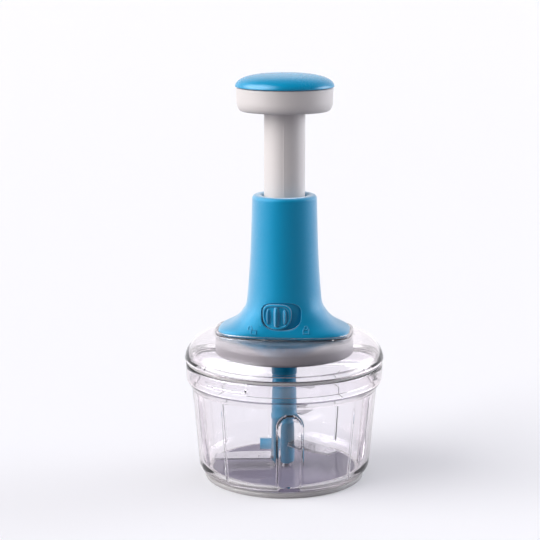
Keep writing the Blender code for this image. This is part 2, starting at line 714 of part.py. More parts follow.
def add_ledges(bowl):
    """Bayonet ledges inside the collar, each with a stop that the closed lid's lug meets."""
    outer = COLLAR_INNER_RADIUS + BOWL_WALL / 2
    play = math.degrees(BAYONET_PLAY / LID_SKIRT_RADIUS)
    for i in range(BAYONET_COUNT):
        lug_end = 360 * i / BAYONET_COUNT - BAYONET_SPAN_DEG / 2 - play
        ledge_end = lug_end - BAYONET_STOP_DEG
        span = BAYONET_SPAN_DEG + play + BAYONET_STOP_DEG
        ledge = sector(f"ledge_{i}", LEDGE_INNER_RADIUS, outer, LEDGE_BOTTOM, LEDGE_TOP,
                       ledge_end + span / 2, span)
        stop = sector(f"ledge_stop_{i}", LEDGE_INNER_RADIUS, outer, LUG_BOTTOM,
                      LEDGE_BOTTOM + BITE, lug_end - BAYONET_STOP_DEG / 2, BAYONET_STOP_DEG)
        join(bowl, add_tool(f"ledge_{i}", ledge))
        join(bowl, add_tool(f"ledge_stop_{i}", stop))


def make_pivot_pin():
    outline = arc(0, PIVOT_TOP - PIVOT_RADIUS, PIVOT_RADIUS, PIVOT_RADIUS, 90, 0)
    foot = BOWL_BOTTOM + PIVOT_SEAT + GAP
    outline += [(PIVOT_RADIUS, foot), (0, foot)]
    return spin(add_part("pivot_pin", profile_mesh("pivot_pin", outline), STEEL, 0.25, 1.0),
                PIN_STEPS)


# Blades

BLADES = [
    ("blade_lower", LOWER_BLADE_HEIGHT, LOWER_BLADE_DEG, LOWER_BLADE_CLEARANCE, LOWER_BLADE_SWEEP,
     LOWER_BLADE_TIP_SHARE),
    ("blade_middle", MIDDLE_BLADE_HEIGHT, MIDDLE_BLADE_DEG, MIDDLE_BLADE_CLEARANCE,
     MIDDLE_BLADE_SWEEP, MIDDLE_BLADE_TIP_SHARE),
    ("blade_upper", UPPER_BLADE_HEIGHT, UPPER_BLADE_DEG, UPPER_BLADE_CLEARANCE, UPPER_BLADE_SWEEP,
     UPPER_BLADE_TIP_SHARE),
]


def make_blade_shaft():
    band_low = SHAFT_BOTTOM + UPPER_BLADE_HEIGHT - SHAFT_BAND_HEIGHT / 2
    band_high = band_low + SHAFT_BAND_HEIGHT
    outline = [(0, SHAFT_TOP), (SHAFT_RADIUS - SHAFT_EDGE, SHAFT_TOP),
               (SHAFT_RADIUS, SHAFT_TOP - SHAFT_EDGE), (SHAFT_RADIUS, band_high + SHAFT_BAND),
               (BAND_RADIUS, band_high), (BAND_RADIUS, band_low),
               (SHAFT_RADIUS, band_low - SHAFT_BAND),
               (SHAFT_FOOT_RADIUS, SHAFT_BOTTOM + SHAFT_EDGE),
               (SHAFT_FOOT_RADIUS - SHAFT_EDGE, SHAFT_BOTTOM), (0, SHAFT_BOTTOM)]
    shaft = spin(add_part("blade_shaft", profile_mesh("blade_shaft", outline), BLUE, 0.35),
                 SMALL_STEPS)
    join(shaft, add_tool("shaft_hex", cylinder("shaft_hex", HEX_RADIUS, SHAFT_TOP - CUT, HEX_TOP,
                                               HEX_STEPS)))
    fin_low = SHAFT_BOTTOM + FIN_RISE
    fin = add_tool("shaft_fin", box("shaft_fin", (SHAFT_RADIUS / 2, -FIN_THICKNESS / 2, fin_low),
                                    (FIN_LENGTH, FIN_THICKNESS / 2, fin_low + FIN_HEIGHT)))
    join(shaft, place(fin, turned(LOWER_BLADE_DEG)))
    for name, height, degrees, *_ in BLADES:
        low = SHAFT_BOTTOM + height - BLADE_THICKNESS / 2 - GAP
        half = BLADE_TANG_WIDTH / 2 + GAP
        slot = add_tool(f"{name}_slot", box(f"{name}_slot", (-half, -half, low),
                                            (BAND_RADIUS + CUT, half,
                                             low + BLADE_THICKNESS + 2 * GAP)))
        cut(shaft, place(slot, turned(degrees)))
    cut(shaft, add_tool("shaft_bore", cylinder("shaft_bore", PIVOT_RADIUS + GAP,
                                               SHAFT_BOTTOM - CUT, PIVOT_TOP + GAP, PIN_STEPS)))
    return shaft


def make_blade(name, height, degrees, clearance, sweep, tip_share):
    """Plate that narrows to its tip, ground along its leading edge, on a square tang."""
    z = SHAFT_BOTTOM + height
    half = BLADE_THICKNESS / 2
    thin = BLADE_EDGE / 2
    root = BAND_RADIUS + GAP
    rings = []
    for i in range(BLADE_STEPS + 1):
        share = i / BLADE_STEPS
        x = blend(root, INNER_FOOT_RADIUS - clearance, share)
        back = BLADE_WIDTH / 2 + sweep * share ** 2
        width = BLADE_WIDTH * blend(1, tip_share, share ** 3)
        edge = back - width
        grind = edge + width * BLADE_GRIND_SHARE
        rings.append([(x, edge, z - thin), (x, grind, z - half), (x, back, z - half),
                      (x, back, z + half), (x, grind, z + half), (x, edge, z + thin)])
    blade = add_part(name, loft(name, rings), STEEL, 0.25, 1.0)
    tang = BLADE_TANG_WIDTH / 2
    join(blade, add_tool(f"{name}_tang", box(f"{name}_tang", (-tang, -tang, z - half),
                                             (root + BITE, tang, z + half))))
    if z < PIVOT_TOP:
        cut(blade, add_tool(f"{name}_hole", cylinder(f"{name}_hole", PIVOT_RADIUS + 2 * GAP,
                                                     z - CUT, z + CUT, PIN_STEPS)))
    return place(blade, turned(degrees))


# Lid

def make_lid_seal():
    return ring_part("lid_seal", COLLAR_INNER_RADIUS, BOWL_COLLAR_RADIUS - GAP, SEAL_BOTTOM,
                     SEAL_TOP, WIDE_STEPS, SMOKE)


def screw_places():
    x = HOUSING_FOOT_HALF_WIDTH - SCREW_INSET_X
    y = HOUSING_FOOT_HALF_DEPTH - SCREW_INSET_Y
    return [(side * x, end * y) for side in (-1, 1) for end in (-1, 1)]


def tower_rim():
    """Low wall on the crown that the tower's foot stands in."""
    wide = HOUSING_FOOT_HALF_WIDTH + TOWER_RIM_PLAY
    deep = HOUSING_FOOT_HALF_DEPTH + TOWER_RIM_PLAY
    low = LID_TOP - LID_WALL / 2
    high = LID_TOP + TOWER_RIM_HEIGHT
    rim = add_tool("tower_rim", plate("tower_rim", oval(wide + TOWER_RIM_WALL,
                                                        deep + TOWER_RIM_WALL,
                                                        HOUSING_SQUARENESS, OVAL_STEPS),
                                      low, high))
    room = oval(wide, deep, HOUSING_SQUARENESS, OVAL_STEPS)
    cut(rim, add_tool("tower_rim_room", plate("tower_rim_room", room, low - CUT, high + CUT)))
    return rim


def make_lid_shell():
    dome = LID_RADIUS - LID_CROWN_RADIUS
    outline = [(LID_HOLE_RADIUS, LID_TOP)]
    outline += arc(LID_CROWN_RADIUS, LID_LIP, dome, LID_DOME_HEIGHT, 90, 0, CROWN_STEPS)
    outline += [(LID_SKIRT_RADIUS, LID_LIP), (LID_SKIRT_RADIUS, SKIRT_FOOT),
                (SKIRT_INNER_RADIUS, SKIRT_FOOT), (SKIRT_INNER_RADIUS, LID_WEB_TOP)]
    outline += arc(LID_CROWN_RADIUS, LID_WEB_TOP, dome - LID_WALL, LID_CEILING - LID_WEB_TOP, 0,
                   90, UNDERSIDE_STEPS)
    outline += [(LID_HOLE_RADIUS, LID_CEILING)]
    lid = spin(add_part("lid_shell", profile_mesh("lid_shell", outline, True), CLEAR, 0.05, 0.0,
                        1.0), WIDE_STEPS)
    for i in range(BAYONET_COUNT):
        join(lid, add_tool(f"lug_{i}", sector(f"lug_{i}", LID_SKIRT_RADIUS - LID_WALL / 2,
                                              LID_SKIRT_RADIUS + BAYONET_REACH, LUG_BOTTOM,
                                              LUG_TOP, 360 * i / BAYONET_COUNT,
                                              BAYONET_SPAN_DEG)))
    join(lid, tower_rim())
    for i, (x, y) in enumerate(screw_places()):
        hole = add_tool(f"lid_hole_{i}", cylinder(f"lid_hole_{i}", SCREW_HOLE, LID_CEILING - CUT,
                                                  LID_TOP + CUT, PIN_STEPS))
        cut(lid, place(hole, moved(x, y, 0)))
    return lid


def make_pan():
    """Cup that carries the drive's bearing, the spring's seat and the housing screws."""
    lip_inner = COUPLER_RADIUS + GAP
    lip_bottom = PAN_BOTTOM - DRIP_LIP
    outline = [(PAN_RADIUS, PAN_TOP)]
    outline += arc(PAN_RADIUS - PAN_CORNER, PAN_BOTTOM + PAN_CORNER, PAN_CORNER, PAN_CORNER,
                   0, -90)
    outline += arc(lip_inner + DRIP_LIP_WALL + DRIP_LIP, lip_bottom, DRIP_LIP, DRIP_LIP, 90, 180,
                   ARC_STEPS - 1)
    outline += [(lip_inner, lip_bottom), (lip_inner, PAN_BOTTOM), (BOSS_BORE, PAN_BOTTOM),
                (BOSS_BORE, BOSS_TOP), (BOSS_RADIUS, BOSS_TOP), (BOSS_RADIUS, PAN_FLOOR_TOP),
                (SPRING_WALL_BORE, PAN_FLOOR_TOP), (SPRING_WALL_BORE, HOUSING_BOTTOM),
                (SPRING_WALL_RADIUS, HOUSING_BOTTOM), (SPRING_WALL_RADIUS, PAN_FLOOR_TOP),
                (PAN_RADIUS - PAN_WALL, PAN_FLOOR_TOP), (PAN_RADIUS - PAN_WALL, PAN_TOP)]
    pan = spin(add_part("mechanism_pan", profile_mesh("mechanism_pan", outline, True), GREY),
               MIDDLE_STEPS)
    for i in range(PAN_RIB_COUNT):
        rib = add_tool(f"pan_rib_{i}", box(f"pan_rib_{i}",
                                           (SPRING_WALL_RADIUS - BITE, -PAN_RIB_WIDTH / 2,
                                            PAN_FLOOR_TOP - BITE),
                                           (PAN_RADIUS - PAN_WALL / 2, PAN_RIB_WIDTH / 2,
                                            PAN_FLOOR_TOP + PAN_RIB_HEIGHT)))
        join(pan, place(rib, turned(360 * i / PAN_RIB_COUNT)))
    for i, (x, y) in enumerate(screw_places()):
        post = add_tool(f"pan_post_{i}", cylinder(f"pan_post_{i}", HEAD_HOLE + SCREW_POST_WALL,
                                                  PAN_FLOOR_TOP - BITE, LID_CEILING - GAP,
                                                  PIN_STEPS))
        bore = add_tool(f"pan_bore_{i}", cylinder(f"pan_bore_{i}", SCREW_HOLE, PAN_BOTTOM - CUT,
                                                  LID_TOP, PIN_STEPS))
        sink = add_tool(f"pan_sink_{i}", cylinder(f"pan_sink_{i}", HEAD_HOLE, PAN_BOTTOM - CUT,
                                                  HEAD_SEAT, PIN_STEPS))
        join(pan, place(post, moved(x, y, 0)))
        cut(pan, place(bore, moved(x, y, 0)))
        cut(pan, place(sink, moved(x, y, 0)))
    return pan


def make_screw(name, radius, length, matrix):
    """Round-headed screw along its own +Z, head underside at zero, with a hexagonal socket."""
    head = radius * SCREW_HEAD_SHARE
    depth = radius * SCREW_HEAD_HEIGHT_SHARE
    tip = radius * SCREW_TIP_SHARE
    outline = [(0, length), (tip, length), (radius, length - radius + tip), (radius, 0),
               (head, 0), (head, -depth / 2), (radius * SCREW_CROWN_SHARE, -depth), (0, -depth)]
    screw = spin(add_part(name, profile_mesh(name, outline), STEEL, 0.3, 1.0), PIN_STEPS)
    cut(screw, add_tool(f"{name}_socket", cylinder(f"{name}_socket", head * SOCKET_RADIUS_SHARE,
                                                   -depth - CUT, -depth * SOCKET_DEPTH_SHARE,
                                                   HEX_STEPS)))
    return place(screw, matrix)


def make_housing_screws():
    seat = HEAD_SEAT - GAP
    return [make_screw(f"housing_screw_{i + 1}", SCREW_RADIUS, HOUSING_BOTTOM + SCREW_BITE - seat,
                       moved(x, y, seat))
            for i, (x, y) in enumerate(screw_places())]


def make_bearing_bush():
    outline = [(BUSH_FLANGE_RADIUS, BUSH_TOP), (BUSH_FLANGE_RADIUS, BOSS_TOP + GAP),
               (BUSH_RADIUS, BOSS_TOP + GAP), (BUSH_RADIUS, PAN_BOTTOM + GAP),
               (JOURNAL_BORE, PAN_BOTTOM + GAP), (JOURNAL_BORE, BUSH_TOP)]
    return spin(add_part("bearing_bush", profile_mesh("bearing_bush", outline, True), BRASS, 0.3,
                         1.0), SMALL_STEPS)


# Housing

def tower_sizes(inset=0.0):
    """Height, half width, half depth and squareness from the foot up, drawn in and down."""
    sizes = []
    for rise, spread in FLARE_SHARES:
        sizes.append((blend(HOUSING_BOTTOM, HOUSING_BOTTOM + HOUSING_FLARE_HEIGHT, rise) - inset,
                      blend(HOUSING_NECK_RADIUS, HOUSING_FOOT_HALF_WIDTH, spread) - inset,
                      blend(HOUSING_NECK_RADIUS, HOUSING_FOOT_HALF_DEPTH, spread) - inset,
                      blend(2, HOUSING_SQUARENESS, math.sqrt(spread))))
    for rise, spread in NECK_SHARES:
        radius = blend(HOUSING_TOP_RADIUS, HOUSING_NECK_RADIUS, spread) - inset
        height = blend(HOUSING_BOTTOM + HOUSING_FLARE_HEIGHT, HOUSING_TOP - HOUSING_TOP_EDGE, rise)
        sizes.append((height - inset, radius, radius, 2))
    return sizes


def tower_loft(name, sizes):
    return loft(name, [[(x, y, z) for x, y in oval(wide, deep, squareness, OVAL_STEPS)]
                       for z, wide, deep, squareness in sizes])


def tower_outside():
    sizes = tower_sizes()
    for r, z in arc(HOUSING_TOP_RADIUS - HOUSING_TOP_EDGE, HOUSING_TOP - HOUSING_TOP_EDGE,
                    HOUSING_TOP_EDGE, HOUSING_TOP_EDGE, 0, 90)[1:]:
        sizes.append((z, r, r, 2))
    return tower_loft("housing", sizes)


def tower_inside(name, inset, ceiling):
    """Room that keeps an inset from the outside of the tower, open below, level above."""
    sizes = [size for size in tower_sizes(inset)[::2]
             if HOUSING_BOTTOM < size[0] < ceiling - inset]
    foot = (HOUSING_BOTTOM - CUT, *sizes[0][1:])
    top_radius = HOUSING_TOP_RADIUS - inset
    return add_tool(name, tower_loft(name, [foot] + sizes + [(ceiling, top_radius, top_radius, 2)]))


def shield(width, height, foot_squareness):
    """Outline of the lock's recess or knob seen from the front: flat head, rounder foot."""
    outline = []
    for x, z in oval(width / 2, height / 2, RECESS_HEAD_SQUARENESS, SHIELD_STEPS):
        if z < 0:
            drop_share = min(abs(2 * z / height), 1)
            narrow_share = (1 - drop_share ** foot_squareness) ** (1 / foot_squareness)
            x = math.copysign(width / 2 * narrow_share, x)
        outline.append((x * (1 - RECESS_TAPER_SHARE * (0.5 - z / height)), z))
    return outline


def facing_block(name, outline, core_radius):
    """Block over an upright outline in front of the axis, from a round back outwards."""
    block = add_tool(name, plate(name, outline, 0, TOWER_REACH))
    place(block, moved(0, 0, RECESS_MIDDLE) @ turned(90, "X"))
    cut(block, add_tool(f"{name}_core", cylinder(f"{name}_core", core_radius,
                                                 RECESS_MIDDLE - RECESS_HEIGHT,
                                                 RECESS_MIDDLE + RECESS_HEIGHT, WIDE_STEPS)))
    return block


def housing_fittings():
    """Lock tray, guide ribs and screw bosses, trimmed to half way through the tower's wall."""
    grown = 2 * RECESS_TRAY_WALL
    fittings = facing_block("lock_tray", shield(RECESS_WIDTH + grown, RECESS_HEIGHT + grown,
                                                RECESS_FOOT_SQUARENESS), TRAY_INNER_RADIUS)
    rib_low = STOP_FLANGE_BOTTOM - TRAVEL - GUIDE_RIB_SPARE
    for side in (0, 180):
        rib = add_tool(f"guide_rib_{side}", box(f"guide_rib_{side}",
                                                (KEY_RADIUS, -GUIDE_RIB_WIDTH / 2, rib_low),
                                                (TOWER_REACH, GUIDE_RIB_WIDTH / 2,
                                                 GUIDE_BOTTOM - GAP)))
        join(fittings, place(rib, turned(side)))
    for i, (x, y) in enumerate(screw_places()):
        boss = add_tool(f"screw_boss_{i}", cylinder(f"screw_boss_{i}",
                                                    SCREW_HOLE + SCREW_BOSS_WALL, HOUSING_BOTTOM,
                                                    RECESS_MIDDLE + RECESS_HEIGHT, PIN_STEPS))
        join(fittings, place(boss, moved(x, y, 0)))
    trim(fittings, tower_inside("fitting_trim", HOUSING_WALL / 2, HOUSING_CEILING))
    return fittings


def make_housing():
    housing = add_part("housing", tower_outside(), BLUE, 0.45)
    cut(housing, tower_inside("tower_room", HOUSING_WALL, HOUSING_CEILING))
    join(housing, housing_fittings())
    for i, (x, y) in enumerate(screw_places()):
        hole = add_tool(f"boss_hole_{i}", cylinder(f"boss_hole_{i}", SCREW_HOLE,
                                                   HOUSING_BOTTOM - CUT,
                                                   HOUSING_BOTTOM + SCREW_BITE + GAP, PIN_STEPS))
        cut(housing, place(hole, moved(x, y, 0)))
    mouth = [(0, HOUSING_TOP + CUT), (OPENING_RADIUS + OPENING_CHAMFER + CUT, HOUSING_TOP + CUT),
             (OPENING_RADIUS, HOUSING_TOP - OPENING_CHAMFER),
             (OPENING_RADIUS, HOUSING_CEILING - CUT), (0, HOUSING_CEILING - CUT)]
    cut(housing, spin(add_tool("tower_mouth", profile_mesh("tower_mouth", mouth)), MIDDLE_STEPS))
    cut(housing, facing_block("recess", shield(RECESS_WIDTH, RECESS_HEIGHT,
                                               RECESS_FOOT_SQUARENESS), RECESS_FLOOR_RADIUS))
    window = sector("lock_window", TRAY_INNER_RADIUS - CUT, RECESS_FLOOR_RADIUS + CUT,
                    RECESS_MIDDLE - STEM_HEIGHT / 2 - GAP, RECESS_MIDDLE + STEM_HEIGHT / 2 + GAP,
                    FRONT_DEG, STEM_SPAN_DEG + KNOB_TRAVEL_DEG + 2 * WINDOW_PLAY_DEG)
    cut(housing, add_tool("lock_window", window))
    return housing


def make_guide():
    inner = PLUNGER_RADIUS + GAP
    outline = [(GUIDE_RADIUS - GUIDE_EDGE, GUIDE_TOP), (GUIDE_RADIUS, GUIDE_TOP - GUIDE_EDGE),
               (GUIDE_RADIUS, GUIDE_BOTTOM), (inner, GUIDE_BOTTOM), (inner, GUIDE_TOP)]
    return spin(add_part("plunger_guide", profile_mesh("plunger_guide", outline, True), WHITE),
                MIDDLE_STEPS)


# Spiral drive

def spiral(name, low, high, spare=0.0):
    """Twisted bar whose angle depends only on its height, so that rod and nut always agree."""
    half_width = SPIRAL_WIDTH / 2 + spare
    half_depth = SPIRAL_THICKNESS / 2 + spare
    wide = half_width - SPIRAL_CHAMFER
    flat = half_depth - SPIRAL_CHAMFER
    section = [(half_width, -flat), (half_width, flat), (wide, half_depth), (0, half_depth),
               (-wide, half_depth), (-half_width, flat), (-half_width, -flat),
               (-wide, -half_depth), (0, -half_depth), (wide, -half_depth)]
    rise = SPIRAL_LEAD * SPIRAL_STEP_DEG / 360
    first = math.ceil(low / rise + 0.2)
    last = math.floor(high / rise - 0.2)
    rings = []
    for z in [low] + [rise * k for k in range(first, last + 1)] + [high]:
        turn = turned(-360 * z / SPIRAL_LEAD)
        rings.append([tuple(turn @ Vector((x, y, z))) for x, y in section])
    return loft(name, rings)


def cross_hole(name):
    reach = COUPLER_RADIUS + CUT
    hole = add_tool(name, cylinder(name, CROSS_PIN_RADIUS + GAP, -reach, reach, PIN_STEPS))
    return place(hole, moved(0, 0, CROSS_PIN_HEIGHT) @ turned(90, "Y"))


def make_spiral_rod():
    outline = [(0, ROD_COLLAR_TOP), (BUSH_FLANGE_RADIUS - ROD_COLLAR_EDGE, ROD_COLLAR_TOP),
               (BUSH_FLANGE_RADIUS, ROD_COLLAR_TOP - ROD_COLLAR_EDGE),
               (BUSH_FLANGE_RADIUS, ROD_COLLAR_BOTTOM), (JOURNAL_RADIUS, ROD_COLLAR_BOTTOM),
               (JOURNAL_RADIUS, ROD_BOTTOM), (0, ROD_BOTTOM)]
    rod = spin(add_part("spiral_rod", profile_mesh("spiral_rod", outline), STEEL, 0.25, 1.0),
               SMALL_STEPS)
    join(rod, add_tool("rod_spiral", spiral("rod_spiral", ROD_COLLAR_TOP - BITE, ROD_TOP)))
    cut(rod, cross_hole("rod_cross_hole"))
    return rod


def make_coupler():
    outline = [(0, COUPLER_TOP), (COUPLER_RADIUS, COUPLER_TOP),
               (COUPLER_RADIUS, COUPLER_BOTTOM + COUPLER_EDGE),
               (COUPLER_RADIUS - COUPLER_EDGE, COUPLER_BOTTOM), (0, COUPLER_BOTTOM)]
    coupler = spin(add_part("drive_coupler", profile_mesh("drive_coupler", outline), BLUE, 0.35),
                   SMALL_STEPS)
    play = GAP / math.cos(math.pi / HEX_STEPS)
    cut(coupler, add_tool("hex_socket", cylinder("hex_socket", HEX_RADIUS + play,
                                                 COUPLER_BOTTOM - CUT, SOCKET_TOP, HEX_STEPS)))
    cut(coupler, add_tool("coupler_bore", cylinder("coupler_bore", JOURNAL_BORE, ROD_BOTTOM - GAP,
                                                   COUPLER_TOP + CUT)))
    cut(coupler, cross_hole("coupler_cross_hole"))
    return coupler


def make_cross_pin():
    reach = COUPLER_RADIUS - GAP
    pin = add_part("cross_pin", cylinder("cross_pin", CROSS_PIN_RADIUS, -reach, reach, PIN_STEPS),
                   STEEL, 0.3, 1.0)
    return place(pin, moved(0, 0, CROSS_PIN_HEIGHT) @ turned(90, "Y"))


# Plunger

def make_plunger_tube():
    outline = [(PLUNGER_RADIUS, PLUNGER_TOP), (PLUNGER_RADIUS, STOP_FLANGE_TOP),
               (STOP_FLANGE_RADIUS, STOP_FLANGE_TOP), (STOP_FLANGE_RADIUS, STOP_FLANGE_BOTTOM),
               (PLUNGER_RADIUS, STOP_FLANGE_BOTTOM), (PLUNGER_RADIUS, PLUNGER_BOTTOM),
               (PLUNGER_BORE, PLUNGER_BOTTOM), (PLUNGER_BORE, PLUNGER_CEILING),
               (SCREW_HOLE, PLUNGER_CEILING), (SCREW_HOLE, PLUNGER_TOP)]
    tube = spin(add_part("plunger_tube", profile_mesh("plunger_tube", outline, True), GREY),
                MIDDLE_STEPS)
    low = STOP_FLANGE_BOTTOM - CUT
    high = STOP_FLANGE_TOP + CUT
    half = GUIDE_RIB_WIDTH / 2 + GAP
    for side in (0, 180):
        notch = add_tool(f"key_notch_{side}", box(f"key_notch_{side}",
                                                  (KEY_RADIUS - GAP, -half, low),
                                                  (STOP_FLANGE_RADIUS + CUT, half, high)))
        cut(tube, place(notch, turned(side)))
    cut(tube, add_tool("lock_notch", sector("lock_notch", FINGER_TIP_RADIUS - GAP,
                                            STOP_FLANGE_RADIUS + CUT, low, high,
                                            FRONT_DEG + KNOB_REST_DEG,
                                            FINGER_SPAN_DEG + 2 * FINGER_SIDE_PLAY_DEG)))
    cut(tube, nut_pin_hole("tube_pin_hole"))
    return tube


def nut_pin_hole(name):
    reach = PLUNGER_RADIUS + CUT
    hole = add_tool(name, cylinder(name, NUT_PIN_RADIUS + GAP, -reach, reach, PIN_STEPS))
    return place(hole, moved(0, 0, NUT_PIN_HEIGHT) @ turned(90, "X"))


def make_drive_nut():
    outline = [(0, NUT_TOP), (NUT_RADIUS - NUT_EDGE, NUT_TOP), (NUT_RADIUS, NUT_TOP - NUT_EDGE),
               (NUT_RADIUS, NUT_FLANGE_TOP), (PLUNGER_RADIUS, NUT_FLANGE_TOP),
               (PLUNGER_RADIUS, NUT_BOTTOM), (0, NUT_BOTTOM)]
    nut = spin(add_part("drive_nut", profile_mesh("drive_nut", outline), WHITE), SMALL_STEPS)
    cut(nut, add_tool("nut_bore", spiral("nut_bore", NUT_BOTTOM - CUT, NUT_TOP + CUT, GAP)))
    cut(nut, nut_pin_hole("nut_pin_hole"))
    return nut


def make_nut_pins():
    outer = PLUNGER_RADIUS - GAP
    pins = []
    for i, side in enumerate((-1, 1)):
        name = f"nut_pin_{i + 1}"
        pin = add_part(name, cylinder(name, NUT_PIN_RADIUS, outer - NUT_PIN_DEPTH, outer,
                                      PIN_STEPS), STEEL, 0.3, 1.0)
        pins.append(place(pin, moved(0, 0, NUT_PIN_HEIGHT) @ turned(90 * side, "X")))
    return pins


def make_push_pad():
    socket = PLUNGER_RADIUS + GAP
    floor = PAD_BOTTOM + PAD_FLOOR
    outline = [(PAD_RADIUS, PAD_TOP)]
    outline += arc(PAD_FOOT_RADIUS - PAD_CORNER_WIDTH, PAD_BOTTOM + PAD_CORNER_HEIGHT,
                   PAD_CORNER_WIDTH, PAD_CORNER_HEIGHT, 0, -90, ARC_STEPS + 1)
    outline += [(socket, PAD_BOTTOM), (socket, PAD_HUB_BOTTOM), (SCREW_HOLE, PAD_HUB_BOTTOM),
                (SCREW_HOLE, PAD_HUB_TOP), (socket + PAD_WALL, PAD_HUB_TOP),
                (socket + PAD_WALL, floor), (PAD_FOOT_RADIUS - PAD_WALL, floor),
                (PAD_RADIUS - PAD_WALL, PAD_TOP)]
    return spin(add_part("push_pad", profile_mesh("push_pad", outline, True), GREY), MIDDLE_STEPS)


def make_push_cap():
    plug_outer = PAD_RADIUS - PAD_WALL - CAP_PLUG_INSET
    plug_inner = plug_outer - CAP_PLUG_WALL
    plug_bottom = CAP_BOTTOM - CAP_PLUG_DEPTH
    outline = [(0, CAP_TOP)]
    for i in range(1, CAP_STEPS + 1):
        angle = math.pi / 2 * (1 - i / CAP_STEPS)
        outline.append((CAP_RADIUS * abs(math.cos(angle)) ** (2 / CAP_SQUARENESS),
                        CAP_EQUATOR + CAP_DOME_HEIGHT * math.sin(angle)))
    outline += [(PAD_RADIUS, CAP_BOTTOM), (plug_outer, CAP_BOTTOM), (plug_outer, plug_bottom),
                (plug_inner, plug_bottom), (plug_inner, CAP_EQUATOR)]
    outline += arc(0, CAP_EQUATOR, plug_inner, CAP_DOME_HEIGHT - CAP_WALL, 25, 70, ARC_STEPS - 1)
    outline += [(0, CAP_TOP - CAP_WALL)]
    return spin(add_part("push_cap", profile_mesh("push_cap", outline), BLUE, 0.12), MIDDLE_STEPS)


def make_pad_screw():
    seat = PAD_HUB_TOP + GAP
    return make_screw("pad_screw", SCREW_RADIUS, seat - PLUNGER_CEILING,
                      moved(0, 0, seat) @ turned(180, "X"))


def make_spring():
    """Spring round the plunger tube, with an end turn lying closed on each seat."""
    low = SPRING_BOTTOM + SPRING_WIRE_RADIUS
    high = SPRING_TOP - SPRING_WIRE_RADIUS
    closed = 2 * SPRING_WIRE_RADIUS + 2 * GAP
    points = []
    for i in range(SPRING_TURNS * SPRING_POINTS_PER_TURN + 1):
        turn = i / SPRING_POINTS_PER_TURN
        live_share = min(max((turn - 1) / (SPRING_TURNS - 2), 0), 1)
        climb = min(turn, 1) + max(turn - SPRING_TURNS + 1, 0)
        z = low + closed * climb + (high - low - 2 * closed) * live_share
        points.append(Vector((SPRING_RADIUS * math.cos(math.tau * turn),
                              SPRING_RADIUS * math.sin(math.tau * turn), z)))
    apart = min((a - b).length for i, a in enumerate(points)
                for b in points[i + SPRING_POINTS_PER_TURN // 2:])
    print(f"return_spring least gap to itself: {1000 * (apart - 2 * SPRING_WIRE_RADIUS):.2f} mm")
    curve = bpy.data.curves.new("return_spring", "CURVE")
    curve.dimensions = "3D"
    curve.bevel_depth = SPRING_WIRE_RADIUS
    curve.bevel_resolution = 1
    curve.use_fill_caps = True
    line = curve.splines.new("POLY")
    line.points.add(len(points) - 1)
    for spot, point in zip(line.points, points):
        spot.co = (*point, 1)
    return add_part("return_spring", curve, STEEL, 0.3, 1.0)


# Lock

def lock_screw_hole(name):
    hole = add_tool(name, cylinder(name, LOCK_SCREW_RADIUS + GAP, LATCH_INNER_RADIUS - CUT,
                                   LOCK_SCREW_TIP + GAP, PIN_STEPS))
    return place(hole, moved(0, 0, RECESS_MIDDLE) @ turned(90, "X"))


def make_lock_knob():
    knob = add_part("lock_knob", sector("lock_knob", KNOB_INNER_RADIUS, KNOB_OUTER_RADIUS,
                                        RECESS_BOTTOM, RECESS_BOTTOM + RECESS_HEIGHT, FRONT_DEG,
                                        2 * math.degrees(KNOB_WIDTH / KNOB_INNER_RADIUS)), BLUE)
    trim(knob, facing_block("knob_trim", shield(KNOB_WIDTH, KNOB_HEIGHT, KNOB_FOOT_SQUARENESS),
                            TRAY_INNER_RADIUS))
    ridges = [(-1, SIDE_RIDGE_RADIUS, SIDE_RIDGE_LENGTH_SHARE),
              (0, RIDGE_RADIUS, RIDGE_LENGTH_SHARE),
              (1, SIDE_RIDGE_RADIUS, SIDE_RIDGE_LENGTH_SHARE)]
    for i, (side, radius, length_share) in enumerate(ridges):
        half = KNOB_HEIGHT * length_share / 2
        ridge = add_tool(f"knob_ridge_{i}", cylinder(f"knob_ridge_{i}", radius,
                                                     RECESS_MIDDLE - half, RECESS_MIDDLE + half,
                                                     PIN_STEPS))
        heading = turned(FRONT_DEG + side * RIDGE_SPREAD_DEG)
        join(knob, place(ridge, heading @ moved(KNOB_OUTER_RADIUS, 0, 0)))
    join(knob, add_tool("knob_stem", sector("knob_stem", LATCH_OUTER_RADIUS + GAP,
                                            KNOB_INNER_RADIUS + BITE,
                                            RECESS_MIDDLE - STEM_HEIGHT / 2,
                                            RECESS_MIDDLE + STEM_HEIGHT / 2, FRONT_DEG,
                                            STEM_SPAN_DEG)))
    cut(knob, lock_screw_hole("knob_screw_hole"))
    return place(knob, turned(KNOB_REST_DEG))


def make_lock_latch():
    """Curved plate behind the tray, with a finger that reaches over the pressed plunger."""
    latch = add_part("lock_latch", sector("lock_latch", LATCH_INNER_RADIUS, LATCH_OUTER_RADIUS,
                                          RECESS_MIDDLE - LATCH_HEIGHT / 2,
                                          RECESS_MIDDLE + LATCH_HEIGHT / 2, FRONT_DEG,
                                          LATCH_SPAN_DEG), WHITE)
    join(latch, add_tool("latch_arm", sector("latch_arm", LATCH_INNER_RADIUS, LATCH_OUTER_RADIUS,
                                             RECESS_MIDDLE, FINGER_TOP, FRONT_DEG,
                                             FINGER_SPAN_DEG)))
    join(latch, add_tool("latch_finger", sector("latch_finger", FINGER_TIP_RADIUS,
                                                LATCH_OUTER_RADIUS, FINGER_BOTTOM, FINGER_TOP,
                                                FRONT_DEG, FINGER_SPAN_DEG)))
    cut(latch, lock_screw_hole("latch_screw_hole"))
    return place(latch, turned(KNOB_REST_DEG))


